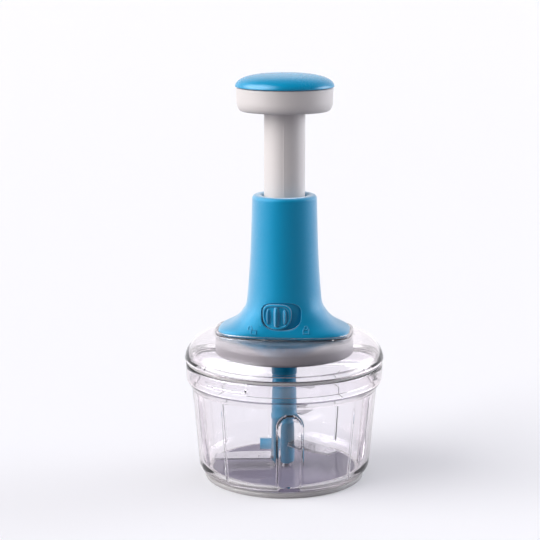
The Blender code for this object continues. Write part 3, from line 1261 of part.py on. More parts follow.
def make_lock_screw():
    seat = LATCH_INNER_RADIUS - GAP
    aim = turned(KNOB_REST_DEG) @ moved(0, 0, RECESS_MIDDLE) @ turned(90, "X")
    return make_screw("lock_screw", LOCK_SCREW_RADIUS, LOCK_SCREW_TIP - seat,
                      aim @ moved(0, 0, seat))


# Assembly

def finish(piece, mesh):
    """Swaps a piece's build for its finished mesh, smooth on round faces, sharp at corners."""
    mesh.shade_smooth()
    mesh.set_sharp_from_angle(angle=math.radians(SHARP_DEG))
    name = piece.name
    finished = bpy.data.objects.new("finished", mesh)
    finished.matrix_basis = piece.matrix_basis
    PARTS.objects.link(finished)
    bpy.data.objects.remove(piece)
    finished.name = name
    return finished


def hang(name, pieces, height):
    """Parents pieces to an empty on the axis that they move on."""
    pivot = bpy.data.objects.new(name, None)
    pivot.location = (0, 0, height)
    pivot.empty_display_size = HOUSING_TOP_RADIUS
    PARTS.objects.link(pivot)
    for piece in pieces:
        piece.parent = pivot
        piece.matrix_parent_inverse = pivot.matrix_basis.inverted()


def main():
    lid = [make_lid_shell(), make_pan(), make_bearing_bush(), make_housing(), make_guide(),
           ring_part("thrust_washer", JOURNAL_BORE, BUSH_FLANGE_RADIUS, WASHER_BOTTOM,
                     WASHER_BOTTOM + WASHER_THICKNESS, SMALL_STEPS, STEEL, 1.0),
           ring_part("spring_washer", SPRING_WALL_BORE - SPRING_WASHER_EDGE, SPRING_WALL_RADIUS,
                     SPRING_WASHER_BOTTOM, SPRING_WASHER_TOP, MIDDLE_STEPS, STEEL, 1.0),
           make_spring()]
    plunger = [make_plunger_tube(), make_drive_nut(), make_push_pad(), make_push_cap(),
               make_pad_screw()]
    groups = [
        ("bowl_axis", 0, [make_bowl(), make_foot_ring(), make_pivot_pin()]),
        ("blade_axis", SHAFT_BOTTOM, [make_blade_shaft()] + [make_blade(*row) for row in BLADES]),
        ("seal_axis", SEAL_BOTTOM, [make_lid_seal()]),
        ("lid_axis", LID_LIP, lid + make_housing_screws()),
        ("drive_axis", COUPLER_TOP, [make_spiral_rod(), make_coupler(), make_cross_pin()]),
        ("plunger_axis", PLUNGER_BOTTOM, plunger + make_nut_pins()),
        ("lock_axis", RECESS_MIDDLE, [make_lock_knob(), make_lock_latch(), make_lock_screw()]),
    ]
    meshes = {piece.name: welded(piece) for name, height, group in groups for piece in group}
    for name, height, group in groups:
        hang(name, [finish(piece, meshes[piece.name]) for piece in group], height)


main()
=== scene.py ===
"""Looks of the plunger food chopper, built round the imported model.

Lengths are metres, +Z is up and the lock slider faces -Y. Every piece lies where its CAD node
lies. The fluted bowl, the turned shells, the tower, the lock knob, the screws and the spring are
made finer here, and the other nodes keep their shape and get materials.
"""

import math

import bmesh
import bpy
from mathutils import Matrix, Vector


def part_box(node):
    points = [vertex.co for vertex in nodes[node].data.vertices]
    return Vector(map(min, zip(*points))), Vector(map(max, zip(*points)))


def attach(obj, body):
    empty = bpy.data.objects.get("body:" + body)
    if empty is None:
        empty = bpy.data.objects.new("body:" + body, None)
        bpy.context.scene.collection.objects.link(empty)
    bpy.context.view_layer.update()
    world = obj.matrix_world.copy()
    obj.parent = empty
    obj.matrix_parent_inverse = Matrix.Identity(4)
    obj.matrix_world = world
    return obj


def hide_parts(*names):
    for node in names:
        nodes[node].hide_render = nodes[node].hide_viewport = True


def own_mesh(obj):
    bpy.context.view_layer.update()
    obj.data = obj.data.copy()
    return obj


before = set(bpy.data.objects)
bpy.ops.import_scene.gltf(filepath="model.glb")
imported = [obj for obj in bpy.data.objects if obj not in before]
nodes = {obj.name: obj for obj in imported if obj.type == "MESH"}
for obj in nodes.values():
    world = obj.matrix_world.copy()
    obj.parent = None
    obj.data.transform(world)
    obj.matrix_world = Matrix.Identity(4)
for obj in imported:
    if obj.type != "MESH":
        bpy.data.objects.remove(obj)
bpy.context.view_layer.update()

# Heights and radii read from the imported parts
BOWL_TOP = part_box("bowl")[1].z
COLLAR_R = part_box("bowl")[1].x
LID_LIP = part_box("lid_seal")[1].z + 0.0003
LID_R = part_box("lid_shell")[1].x
LID_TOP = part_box("lid_shell")[1].z
CROWN_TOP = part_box("housing")[0].z - 0.0003
SKIRT_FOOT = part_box("lid_shell")[0].z
SEAL_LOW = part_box("lid_seal")[0].z
SEAL_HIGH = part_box("lid_seal")[1].z
SEAL_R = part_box("lid_seal")[1].x
FOOT_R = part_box("foot_ring")[1].x
FOOT_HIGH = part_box("foot_ring")[1].z
PAN_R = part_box("mechanism_pan")[1].x
PAN_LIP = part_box("mechanism_pan")[0].z
SPRING_WALL_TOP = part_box("mechanism_pan")[1].z
HOUSING_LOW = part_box("housing")[0].z
HOUSING_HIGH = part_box("housing")[1].z
FOOT_HALF_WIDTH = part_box("housing")[1].x
FOOT_HALF_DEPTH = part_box("housing")[1].y
TUBE_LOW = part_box("plunger_tube")[0].z
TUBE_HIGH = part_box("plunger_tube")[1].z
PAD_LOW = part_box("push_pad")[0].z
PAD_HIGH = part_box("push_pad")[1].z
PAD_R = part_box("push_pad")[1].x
CAP_LOW = PAD_HIGH + 0.0003
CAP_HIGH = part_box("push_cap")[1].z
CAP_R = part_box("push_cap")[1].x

# Bowl
BOWL_LOW = FOOT_HIGH + 0.0003
BOWL_FOOT_R = 0.0570
BOWL_MOUTH_R = 0.0611
BODY_TOP = BOWL_LOW + 0.0582
COLLAR_FOOT = BODY_TOP + 0.0051
BOWL_WALL = 0.0020
BOWL_FLOOR = 0.0022
BOWL_CORNER = 0.0080
FOOT_RING_INNER_R = FOOT_R - 0.0065
FOOT_RING_WIDTH = 0.0027
PRESSED_FROM_R = FOOT_R - 0.0063
FLUTE_COUNT = 4
FLUTE_WIDTH = 0.0150
FLUTE_DEPTH = 0.0052
FLUTE_TOP = BODY_TOP - 0.0055
FLUTE_TURN = math.radians(-90 + 8.8)
FLUTE_SOFTNESS = 0.0005
WALL_RIB_DEPTH = 0.0020
WALL_RIB_HALF = 0.00062
LEDGE_COUNT = 3

# Plunger
TUBE_R = 0.0133
FLANGE_R = 0.0188
PARTING_DEG = 273.75
PARTING_HEIGHT = 0.00012
PAD_SCREW_WAY_R = 0.0018

# Screws and spring
SCREW_HEAD = 0.0018
COIL_POINTS = 433

# Camera, in the photograph's square frame
CAMERA_DISTANCE = 1.000
CAMERA_HEIGHT = 0.340
CAMERA_DROP = math.radians(11.4)
CAMERA_TURN = math.radians(5.8)
CAMERA_SIDE = -0.0094
CAMERA_LENS = 104.0
AMBIENT = 0.33
FLOOR_SEEN = (0.840, 0.832, 0.875)
FLOOR_GLOW = 0.30

ROUND = 192
LID_STEPS = 120
TOWER_STEPS = 144


# Node trees

class Value:
    """A number socket that takes part in Python sums."""

    def __init__(self, graph, socket):
        self.graph = graph
        self.socket = socket

    def math(self, operation, *others):
        sockets = dict(enumerate((self, *others)))
        return self.graph.value("ShaderNodeMath", {"operation": operation}, sockets)

    def __add__(self, other):
        return self.math("ADD", other)

    __radd__ = __add__

    def __mul__(self, other):
        return self.math("MULTIPLY", other)

    __rmul__ = __mul__

    def __sub__(self, other):
        return self.math("SUBTRACT", other)

    def __rsub__(self, other):
        return self * -1 + other

    def __truediv__(self, other):
        return self.math("DIVIDE", other)

    def clamp(self, low=0.0, high=1.0):
        return self.math("MAXIMUM", low).math("MINIMUM", high)


class Graph:
    """The nodes of one shader or geometry tree."""

    def __init__(self, tree):
        self.tree = tree

    def node(self, kind, settings=None, sockets=None):
        """Adds a node with its settings, then the values or links of its sockets."""
        node = self.tree.nodes.new(kind)
        for name, value in (settings or {}).items():
            setattr(node, name, value)
        for name, value in (sockets or {}).items():
            if isinstance(value, Value):
                value = value.socket
            if isinstance(value, bpy.types.NodeSocket):
                self.tree.links.new(value, node.inputs[name])
            else:
                node.inputs[name].default_value = value
        return node

    def value(self, kind, settings=None, sockets=None, output=0):
        return Value(self, self.node(kind, settings, sockets).outputs[output])

    def split(self, vector):
        """The X, Y and Z of a vector."""
        node = self.node("ShaderNodeSeparateXYZ", {}, {0: vector})
        return [Value(self, socket) for socket in node.outputs]


class Finish(Graph):
    """One material and the nodes that make it."""

    def __init__(self, name, colour, roughness, **constants):
        self.material = bpy.data.materials.new(name)
        self.material.use_nodes = True
        super().__init__(self.material.node_tree)
        self.shader = self.tree.nodes["Principled BSDF"]
        self.output = self.tree.nodes["Material Output"]
        self.colour = colour
        self.shader.inputs["Base Color"].default_value = (*colour, 1)
        self.shader.inputs["Roughness"].default_value = roughness
        for socket, value in constants.items():
            self.shader.inputs[socket.replace("_", " ")].default_value = value
        self.place = self.node("ShaderNodeTexCoord").outputs["Object"]

    def noise(self, scale, detail=2.0, stretch=(1, 1, 1)):
        """Noise from 0 to 1, with features of about 1 / scale metres."""
        mapping = self.node("ShaderNodeMapping", {}, {"Vector": self.place, "Scale": stretch})
        return self.value("ShaderNodeTexNoise", {}, {
            "Vector": mapping.outputs[0], "Scale": scale, "Detail": detail})

    def set(self, socket, value):
        source = value.socket if isinstance(value, Value) else value
        self.tree.links.new(source, self.shader.inputs[socket])

    def tint(self, mask, other, colour=None):
        """Takes the base colour, or a colour made before, towards another by a mask."""
        mix = self.node("ShaderNodeMix", {"data_type": "RGBA"},
                        {0: mask, 6: colour or (*self.colour, 1), 7: (*other, 1)})
        self.set("Base Color", mix.outputs[2])
        return mix.outputs[2]

    def bump(self, height, strength, distance):
        node = self.node("ShaderNodeBump", {}, {
            "Height": height, "Strength": strength, "Distance": distance})
        self.set("Normal", node.outputs[0])

    def mix(self, share, first, second):
        """Takes one shader towards another by a share."""
        return self.node("ShaderNodeMixShader", {}, {0: share, 1: first, 2: second}).outputs[0]

    def pass_lamps(self, surface, colour):
        """Lets light from lamps through to what is behind the clear plastic."""
        ray = self.node("ShaderNodeLightPath").outputs["Is Shadow Ray"]
        clear = self.node("ShaderNodeBsdfTransparent", {}, {"Color": (*colour, 1)})
        self.tree.links.new(self.mix(ray, surface, clear.outputs[0]),
                            self.output.inputs["Surface"])


def grown(name, sizes, build, base):
    """Mesh that a geometry tree with named sizes makes from a base mesh."""
    tree = bpy.data.node_groups.new(name, "GeometryNodeTree")
    kinds = {"Geometry": "NodeSocketGeometry", **{label: "NodeSocketFloat" for label in sizes},
             "Finish": "NodeSocketMaterial"}
    inputs = {label: tree.interface.new_socket(label, in_out="INPUT", socket_type=kind)
              for label, kind in kinds.items()}
    tree.interface.new_socket("Geometry", in_out="OUTPUT", socket_type="NodeSocketGeometry")
    graph = Graph(tree)
    entry = graph.node("NodeGroupInput")
    values = {label: Value(graph, entry.outputs[label]) for label in sizes}
    shape = build(graph, entry.outputs["Geometry"], values)
    whole = graph.node("GeometryNodeRealizeInstances", {}, {"Geometry": shape})
    dressed = graph.node("GeometryNodeSetMaterial", {}, {
        "Geometry": whole.outputs[0], "Material": entry.outputs["Finish"]})
    graph.node("NodeGroupOutput", {}, {"Geometry": dressed.outputs[0]})
    carrier = bpy.data.objects.new(name, base)
    bpy.context.scene.collection.objects.link(carrier)
    modifier = carrier.modifiers.new(name, "NODES")
    modifier.node_group = tree
    for label, value in sizes.items():
        modifier[inputs[label].identifier] = value
    modifier[inputs["Finish"].identifier] = bpy.data.materials[0]
    depsgraph = bpy.context.evaluated_depsgraph_get()
    mesh = bpy.data.meshes.new_from_object(carrier.evaluated_get(depsgraph))
    carrier.modifiers.clear()
    bpy.data.objects.remove(carrier)
    return mesh


def ramp(value, start, end, low, high):
    """Goes smoothly from low to high while the value goes from start to end."""
    share = value.graph.value("ShaderNodeMapRange", {"interpolation_type": "SMOOTHSTEP"},
                              {"Value": value, "From Min": start, "From Max": end})
    return share * (high - low) + low


# Materials

def moulded(name, colour, roughness, grain=2600, depth=0.00004, painted_sheen=None, **constants):
    """Moulded plastic with a fine spark-eroded grain, slight cloudiness and, where a colour is given,
    a painted pale sheen that grows towards grazing view.
    """
    finish = Finish(name, colour, roughness, **constants)
    fine = finish.noise(grain, 3.0)
    cloud = finish.noise(45, 2.0)
    finish.set("Roughness", (fine - 0.5) * 0.10 + (cloud - 0.5) * 0.06 + roughness)
    skin = finish.tint((cloud - 0.35).clamp() * 0.5, tuple(min(1, c * 1.12) for c in colour))
    # Painted sheen: the base colour goes towards a pale one where the surface is seen edge-on,
    # speckled by the grain
    if painted_sheen:
        facing = finish.value("ShaderNodeLayerWeight", {}, {"Blend": 0.5}, 1)
        finish.tint(facing.math("POWER", 1.6) * ((fine - 0.5) * 1.8 + 0.62), painted_sheen, skin)
    finish.bump(fine, 0.35, depth)
    return finish.material


def clear_plastic(name, colour, edge, painted_shades, shade, satin_from=1.0):
    """Clear moulding with tinted edges, faint flow marks, fine scratches and places painted with
    shade.
    """
    finish = Finish(name, colour, 0.010, Transmission_Weight=1.0, IOR=1.46)
    flow = finish.noise(60, 2.0, (1, 1, 0.4))
    scratch = finish.noise(900, 2.0, (1, 1, 0.08))
    x, y, z = finish.split(finish.place)
    satin = ramp(z, satin_from - 0.0012, satin_from, 0.0, 0.22)
    finish.set("Roughness", (flow - 0.5).clamp() * 0.05 + (scratch - 0.62).clamp() * 0.15 + satin
               + 0.010)
    facing = finish.value("ShaderNodeLayerWeight", {}, {"Blend": 0.5}, 1)
    skin = finish.tint((facing * facing).math("POWER", 1.3) * 0.9, edge)
    radius = (x * x + y * y).math("SQRT")
    surface = finish.shader.outputs[0]
    # Each place takes the colour towards a painted shade
    for low, high, inner, outer, other, matt_shade_share in painted_shades:
        mask = (z.math("GREATER_THAN", low) * z.math("LESS_THAN", high)
                * ramp(radius, inner - 0.003, inner, 0.0, 1.0)
                * ramp(radius, outer, outer + 0.003, 1.0, 0.0))
        skin = finish.tint(mask, other, skin)
        # A place may also mix in a dark matt shader as more painted shade
        if matt_shade_share:
            cloud = finish.node("ShaderNodeBsdfDiffuse", {}, {"Color": (*other, 1)})
            surface = finish.mix(mask * matt_shade_share, surface, cloud.outputs[0])
    finish.bump(flow, 0.05, 0.0002)
    finish.pass_lamps(surface, shade)
    return finish.material


def smoky_rubber(name, colour, roughness):
    finish = Finish(name, colour, roughness, Transmission_Weight=0.45, IOR=1.45)
    cloud = finish.noise(80, 3.0)
    finish.set("Roughness", (cloud - 0.5) * 0.12 + roughness)
    finish.tint(cloud.clamp() * 0.5, tuple(c * 0.85 for c in colour))
    finish.bump(finish.noise(1800), 0.15, 0.00004)
    return finish.material


def brushed_steel(name, colour, roughness, stretch):
    finish = Finish(name, colour, roughness, Metallic=1.0)
    grain = finish.noise(700, 3.0, stretch)
    finish.set("Roughness", (grain - 0.5) * 0.22 + roughness)
    finish.tint((grain - 0.4).clamp() * 0.6, tuple(c * 0.86 for c in colour))
    finish.bump(grain, 0.18, 0.00003)
    return finish.material


# Blue with a painted pale sheen at its grazing edges
BLUE = moulded("satin_blue", (0.000, 0.260, 0.480), 0.36, painted_sheen=(0.500, 0.640, 0.780),
               Sheen_Weight=0.5, Sheen_Roughness=0.3, Specular_IOR_Level=0.22)
BLUE_GLOSS = moulded("polished_blue", (0.000, 0.270, 0.500), 0.26, 1600, 0.000004,
                     Coat_Weight=0.15, Coat_Roughness=0.12, Specular_IOR_Level=0.4)
GREY = moulded("warm_grey", (0.620, 0.585, 0.580), 0.46)
PAN_GREY = moulded("pan_grey", (0.460, 0.435, 0.460), 0.34, 1500, 0.00002, Coat_Weight=0.2,
                   Coat_Roughness=0.2)
NATURAL = moulded("natural_white", (0.760, 0.740, 0.700), 0.40)
LAMP_SHADE = (0.86, 0.85, 0.87)
ROSY_EDGE = (0.780, 0.620, 0.610)
PALE_EDGE = (0.900, 0.830, 0.850)
# Places of clear plastic painted with shade: two heights, two radii, a colour and a share of dark
# matt shader
# Painted shade on the bowl's floor inside the foot ring, where the pan and tower shade it
PAINTED_FLOOR_SHADE = (BOWL_LOW - 0.001, BOWL_LOW + BOWL_FLOOR + 0.0005, 0.001, 0.046,
               (0.34, 0.31, 0.41), 0.6)
# Painted dark line at the collar's foot, standing in for the dark refraction at its step
PAINTED_COLLAR_SHADE = (COLLAR_FOOT - 0.0012, COLLAR_FOOT + 0.0001, BOWL_MOUTH_R, 1,
               (0.42, 0.40, 0.46), 0)
# Painted dark band at the lid's lip, standing in for the lip seen dark through the dome's edge
PAINTED_LIP_SHADE = (LID_LIP - 0.0001, LID_LIP + 0.0008, LID_R - 0.002, 1, (0.40, 0.34, 0.36), 0)
CLEAR_LID = clear_plastic("clear_lid_plastic", (0.945, 0.930, 0.945), PALE_EDGE, [PAINTED_LIP_SHADE],
                          LAMP_SHADE, CROWN_TOP)
CLEAR = clear_plastic("clear_bowl_plastic", (0.952, 0.940, 0.960), ROSY_EDGE,
                      [PAINTED_FLOOR_SHADE, PAINTED_COLLAR_SHADE], LAMP_SHADE)
SMOKE = smoky_rubber("smoky_foot", (0.640, 0.620, 0.620), 0.24)
SEAL = smoky_rubber("milky_seal", (0.760, 0.740, 0.740), 0.35)
STEEL = brushed_steel("brushed_blade_steel", (0.430, 0.420, 0.450), 0.30, (1, 1, 12))
BRIGHT = brushed_steel("plated_steel", (0.640, 0.640, 0.650), 0.20, (1, 1, 1))
DARK = brushed_steel("blackened_steel", (0.200, 0.200, 0.210), 0.38, (1, 1, 1))
BRASS = brushed_steel("bush_bronze", (0.600, 0.430, 0.190), 0.32, (1, 1, 3))


# Mesh helpers

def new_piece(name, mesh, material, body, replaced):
    """Puts a finished mesh in the scene as a piece that rides on a body."""
    piece = bpy.data.objects.new(name, mesh)
    bpy.context.scene.collection.objects.link(piece)
    mesh.materials.clear()
    mesh.materials.append(material)
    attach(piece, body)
    for node in replaced:
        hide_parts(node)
    return piece


def smooth(mesh, degrees=32):
    mesh.shade_smooth()
    mesh.set_sharp_from_angle(angle=math.radians(degrees))
    return mesh


def arc(middle_r, middle_z, radius_r, radius_z, start, end, steps):
    points = []
    for i in range(steps + 1):
        angle = math.radians(start + (end - start) * i / steps)
        points.append((middle_r + radius_r * math.cos(angle),
                       middle_z + radius_z * math.sin(angle)))
    return points


def line(start, end, steps):
    """Points along a straight stretch of a profile, without its first point."""
    return [(start[0] + (end[0] - start[0]) * i / steps, start[1] + (end[1] - start[1]) * i / steps)
            for i in range(1, steps + 1)]


def finished(name, work):
    """Mesh from a bmesh, with its faces pointing outwards."""
    bmesh.ops.recalc_face_normals(work, faces=work.faces)
    mesh = bpy.data.meshes.new(name)
    work.to_mesh(mesh)
    work.free()
    return mesh


def turned_mesh(name, profile, angles, bend=None, closed=False, inner_from=None):
    """Surface turned from a profile of (r, z) points. bend(i, r, z, angle) may change a radius.

    With inner_from, the rows from there on have the point value "inside" set to 1.
    """
    work = bmesh.new()
    inside = work.verts.layers.float.new("inside") if inner_from else None
    rings = []
    for i, (r, z) in enumerate(profile):
        ring = []
        for angle in angles if r > 0 else angles[:1]:
            radius = bend(i, r, z, angle) if bend else r
            vert = work.verts.new((radius * math.cos(angle), radius * math.sin(angle), z))
            if inner_from:
                vert[inside] = float(i >= inner_from)
            ring.append(vert)
        rings.append(ring)
    pairs = list(zip(rings, rings[1:]))
    if closed:
        pairs.append((rings[-1], rings[0]))
    for upper, lower in pairs:
        for k in range(len(angles)):
            j = (k + 1) % len(angles)
            if len(upper) == 1 and len(lower) == 1:
                break
            if len(upper) == 1:
                work.faces.new((upper[0], lower[k], lower[j]))
            elif len(lower) == 1:
                work.faces.new((upper[k], lower[0], upper[j]))
            else:
                work.faces.new((upper[k], lower[k], lower[j], upper[j]))
    return smooth(finished(name, work))


def shell_mesh(name, profile, steps, bend=None, closed=False):
    angles = [math.tau * k / steps for k in range(steps)]
    return turned_mesh(name, profile, angles, bend, closed)


def loft_mesh(name, rings, closed=False):
    """Closed skin through rings of points of equal count, first to last or round again."""
    work = bmesh.new()
    layers = [[work.verts.new(point) for point in ring] for ring in rings]
    count = len(rings[0])
    pairs = list(zip(layers, layers[1:]))
    if closed:
        pairs.append((layers[-1], layers[0]))
    for near, far in pairs:
        for i in range(count):
            j = (i + 1) % count
            work.faces.new((near[i], near[j], far[j], far[i]))
    if not closed:
        work.faces.new(list(reversed(layers[0])))
        work.faces.new(layers[-1])
    return finished(name, work)


def post_mesh(name, radius, low, high, steps, x=0.0, y=0.0):
    """Round post standing between two heights."""
    ring = [(x + radius * math.cos(math.tau * k / steps), y + radius * math.sin(math.tau * k / steps))
            for k in range(steps)]
    return loft_mesh(name, [[(px, py, z) for px, py in ring] for z in (low, high)])


def wire_mesh(name, points, radius, closed=False):
    """Round wire through points that lie on an upright face round the axis."""
    rings = []
    for i, point in enumerate(points):
        before = points[i - 1 if closed or i else 0]
        after = points[(i + 1) % len(points) if closed else min(i + 1, len(points) - 1)]
        along = (after - before).normalized()
        out = Vector((point.x, point.y, 0))
        out = (out - along * out.dot(along)).normalized()
        side = along.cross(out)
        rings.append([point + (out * math.cos(math.tau * k / 8) + side * math.sin(math.tau * k / 8))
                      * radius for k in range(8)])
    return loft_mesh(name, rings, closed)


def carved(mesh, steps):
    """The mesh after booleans with other meshes: (operation, tool) in order."""
    carrier = bpy.data.objects.new(mesh.name, mesh)
    bpy.context.scene.collection.objects.link(carrier)
    for operation, tool_mesh in steps:
        tool = bpy.data.objects.new(tool_mesh.name, tool_mesh)
        bpy.context.scene.collection.objects.link(tool)
        modifier = carrier.modifiers.new(operation, "BOOLEAN")
        modifier.operation = operation
        modifier.solver = "EXACT"
        modifier.object = tool
        depsgraph = bpy.context.evaluated_depsgraph_get()
        result = bpy.data.meshes.new_from_object(carrier.evaluated_get(depsgraph))
        carrier.modifiers.clear()
        carrier.data = result
        bpy.data.objects.remove(tool)
    bpy.data.objects.remove(carrier)
    return smooth(result)


def merged_copy(node):
    """A CAD node's mesh with its loose triangles joined."""
    mesh = nodes[node].data.copy()
    work = bmesh.new()
    work.from_mesh(mesh)
    bmesh.ops.remove_doubles(work, verts=work.verts, dist=1e-6)
    work.to_mesh(mesh)
    work.free()
    return smooth(mesh)


# Clear bowl

def bowl_angles():
    """Angles round the bowl, closer together at the flutes and at the wall ribs."""
    quarter = math.tau / FLUTE_COUNT
    turns = [math.radians(k / 2) for k in range(-24, 25)]
    coarse = (quarter / 2 - math.radians(12)) / 22
    turns += [math.radians(12) + coarse * k for k in range(1, 22)]
    turns += [quarter - math.radians(12) - coarse * k for k in range(1, 22)]
    turns += [quarter / 2 + side * offset / BOWL_FOOT_R
              for offset in (0.00030, 0.00048, 0.00060, 0.00075) for side in (-1, 1)]
    turns += [quarter / 2]
    return sorted((FLUTE_TURN + quarter * i + turn) % math.tau
                  for i in range(FLUTE_COUNT) for turn in set(turns))


def press_flutes(graph, shape, size):
    """Draws the wall in where leaning rods with ball ends press flutes into it."""
    spot = graph.node("GeometryNodeInputPosition").outputs[0]
    x, y, z = graph.split(spot)
    inside = graph.value("GeometryNodeInputNamedAttribute", {"data_type": "FLOAT"},
                         {"Name": "inside"})
    radius = (x * x + y * y).math("SQRT")
    half_step = math.pi / FLUTE_COUNT
    turn = (y.math("ARCTAN2", x) - FLUTE_TURN).math("WRAP", half_step, -half_step)
    middle = ((z - BOWL_LOW - BOWL_CORNER) * size["Lean"] + BOWL_FOOT_R + size["Rod radius"]
              - size["Flute depth"])
    across = middle * turn.math("SINE")
    rise = (z - size["Shoulder height"]).clamp()
    reach = size["Rod radius"] + inside * size["Wall"]
    room = reach * reach - across * across - rise * rise
    clear_of_rod = room.math("LESS_THAN", 0.0)
    flute = middle * turn.math("COSINE") - room.clamp().math("SQRT") + clear_of_rod
    gap = radius - flute
    soft = size["Edge softness"]
    pressed = (radius + flute - (gap * gap + soft * soft).math("SQRT")) * 0.5
    share = pressed / radius
    target = graph.node("ShaderNodeCombineXYZ", {}, {0: x * share, 1: y * share, 2: z})
    body = (radius.math("GREATER_THAN", PRESSED_FROM_R) * z.math("LESS_THAN", BODY_TOP)
            * z.math("GREATER_THAN", BOWL_LOW - 0.0001))
    placed = graph.node("GeometryNodeSetPosition", {}, {
        "Geometry": shape, "Selection": body, "Position": target.outputs[0]})
    return placed.outputs[0]


def make_bowl():
    rim = 0.0006
    outer = [(COLLAR_R - rim, BOWL_TOP), (COLLAR_R - rim / 3, BOWL_TOP - rim / 3),
             (COLLAR_R, BOWL_TOP - rim)]
    outer += line((COLLAR_R, BOWL_TOP - rim), (COLLAR_R, COLLAR_FOOT + rim), 4)
    outer += [(COLLAR_R - rim / 2, COLLAR_FOOT)]
    outer += line((COLLAR_R - rim / 2, COLLAR_FOOT), (BOWL_MOUTH_R + rim, BODY_TOP + rim), 3)
    outer += [(BOWL_MOUTH_R, BODY_TOP)]
    outer += line((BOWL_MOUTH_R, BODY_TOP), (BOWL_FOOT_R, BOWL_LOW + BOWL_CORNER), 48)
    outer += arc(BOWL_FOOT_R - BOWL_CORNER, BOWL_LOW + BOWL_CORNER, BOWL_CORNER, BOWL_CORNER,
                 0, -90, 8)[1:]
    rib_r = FOOT_RING_INNER_R - 0.0003
    rib_inner_r = rib_r - 0.0022
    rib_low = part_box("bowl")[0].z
    outer += [(rib_r, BOWL_LOW), (rib_r, rib_low), (rib_inner_r, rib_low),
              (rib_inner_r, BOWL_LOW), (0, BOWL_LOW)]
    floor = BOWL_LOW + BOWL_FLOOR
    boss_top = floor + 0.0030
    pin_r = 0.0023
    pin_low = BOWL_LOW + 0.0009
    boss_foot_r = 0.0066
    inner_foot = BOWL_FOOT_R - BOWL_WALL
    inner_mouth = BOWL_MOUTH_R - BOWL_WALL
    corner_top = floor + BOWL_CORNER
    inner = [(0, pin_low), (pin_r, pin_low), (pin_r, boss_top), (0.0052, boss_top),
             (0.0060, floor + 0.0004), (boss_foot_r, floor)]
    inner += line((boss_foot_r, floor), (inner_foot - BOWL_CORNER, floor), 3)
    inner += arc(inner_foot - BOWL_CORNER, corner_top, BOWL_CORNER, BOWL_CORNER, -90, 0, 8)[1:]
    inner += line((inner_foot, corner_top), (inner_mouth, BODY_TOP), 48)
    inner += line((inner_mouth, BODY_TOP), (COLLAR_R - BOWL_WALL, COLLAR_FOOT), 3)
    inner += line((COLLAR_R - BOWL_WALL, COLLAR_FOOT), (COLLAR_R - BOWL_WALL, BOWL_TOP - rim), 22)
    inner += [(COLLAR_R - BOWL_WALL + rim / 2, BOWL_TOP)]
    ledge_low = SKIRT_FOOT + 0.0029
    ledge_high = ledge_low + 0.0020
    ledge_r = COLLAR_R - BOWL_WALL - 0.0016
    turns = math.tau / LEDGE_COUNT
    between = math.tau / FLUTE_COUNT
    rib_foot_r = inner_foot - WALL_RIB_DEPTH
    rib_top_r = inner_foot + (inner_mouth - inner_foot) * (
        (FLUTE_TOP - corner_top) / (BODY_TOP - corner_top)) - 0.0003

    def bend(i, r, z, angle):
        if i < len(outer) or r < FOOT_R / 2:
            return r
        if z <= FLUTE_TOP:
            turn = (angle - FLUTE_TURN) % between - between / 2
            if abs(turn) * BOWL_FOOT_R < WALL_RIB_HALF:
                share = (z - floor) / (FLUTE_TOP - floor)
                return min(r, rib_foot_r + (rib_top_r - rib_foot_r) * share)
        turn = math.degrees((angle + turns / 2) % turns - turns / 2)
        if ledge_low <= z <= ledge_high and -16.4 < turn < 13:
            return ledge_r
        return r

    base = turned_mesh("bowl_blank", outer + inner, bowl_angles(), bend, True, len(outer))
    lean = (BOWL_MOUTH_R - BOWL_FOOT_R) / (BODY_TOP - BOWL_LOW - BOWL_CORNER)
    rod_r = (FLUTE_WIDTH ** 2 / 4 + FLUTE_DEPTH ** 2) / FLUTE_DEPTH / 2
    sizes = {"Lean": lean, "Rod radius": rod_r, "Flute depth": FLUTE_DEPTH,
             "Shoulder height": FLUTE_TOP - FLUTE_WIDTH / 2,
             "Wall": BOWL_WALL, "Edge softness": FLUTE_SOFTNESS}
    mesh = smooth(grown("fluted_bowl", sizes, press_flutes, base))
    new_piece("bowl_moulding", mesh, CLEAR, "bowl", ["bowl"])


def make_foot():
    inner = FOOT_RING_INNER_R
    outer = inner + FOOT_RING_WIDTH
    edge = 0.0008
    profile = arc(outer - edge, FOOT_HIGH - edge, edge, edge, 90, 0, 4)
    profile += arc(outer - edge, edge, edge, edge, 0, -90, 4)
    profile += [(inner + edge / 2, 0), (inner, edge / 2), (inner, FOOT_HIGH)]
    mesh = shell_mesh("foot_grip", profile, ROUND, closed=True)
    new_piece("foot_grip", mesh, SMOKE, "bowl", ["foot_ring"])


# Clear lid with its seal

def polar_oval(half_width, half_depth, squareness, steps):
    """Points round a superellipse at even angles: squareness 2 is an ellipse."""
    points = []
    for k in range(steps):
        across = math.cos(math.tau * k / steps)
        along = math.sin(math.tau * k / steps)
        reach = ((abs(across) / half_width) ** squareness
                 + (abs(along) / half_depth) ** squareness) ** (-1 / squareness)
        points.append((reach * across, reach * along))
    return points


def screw_spots():
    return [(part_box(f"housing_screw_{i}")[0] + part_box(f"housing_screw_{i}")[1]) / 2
            for i in range(1, 5)]


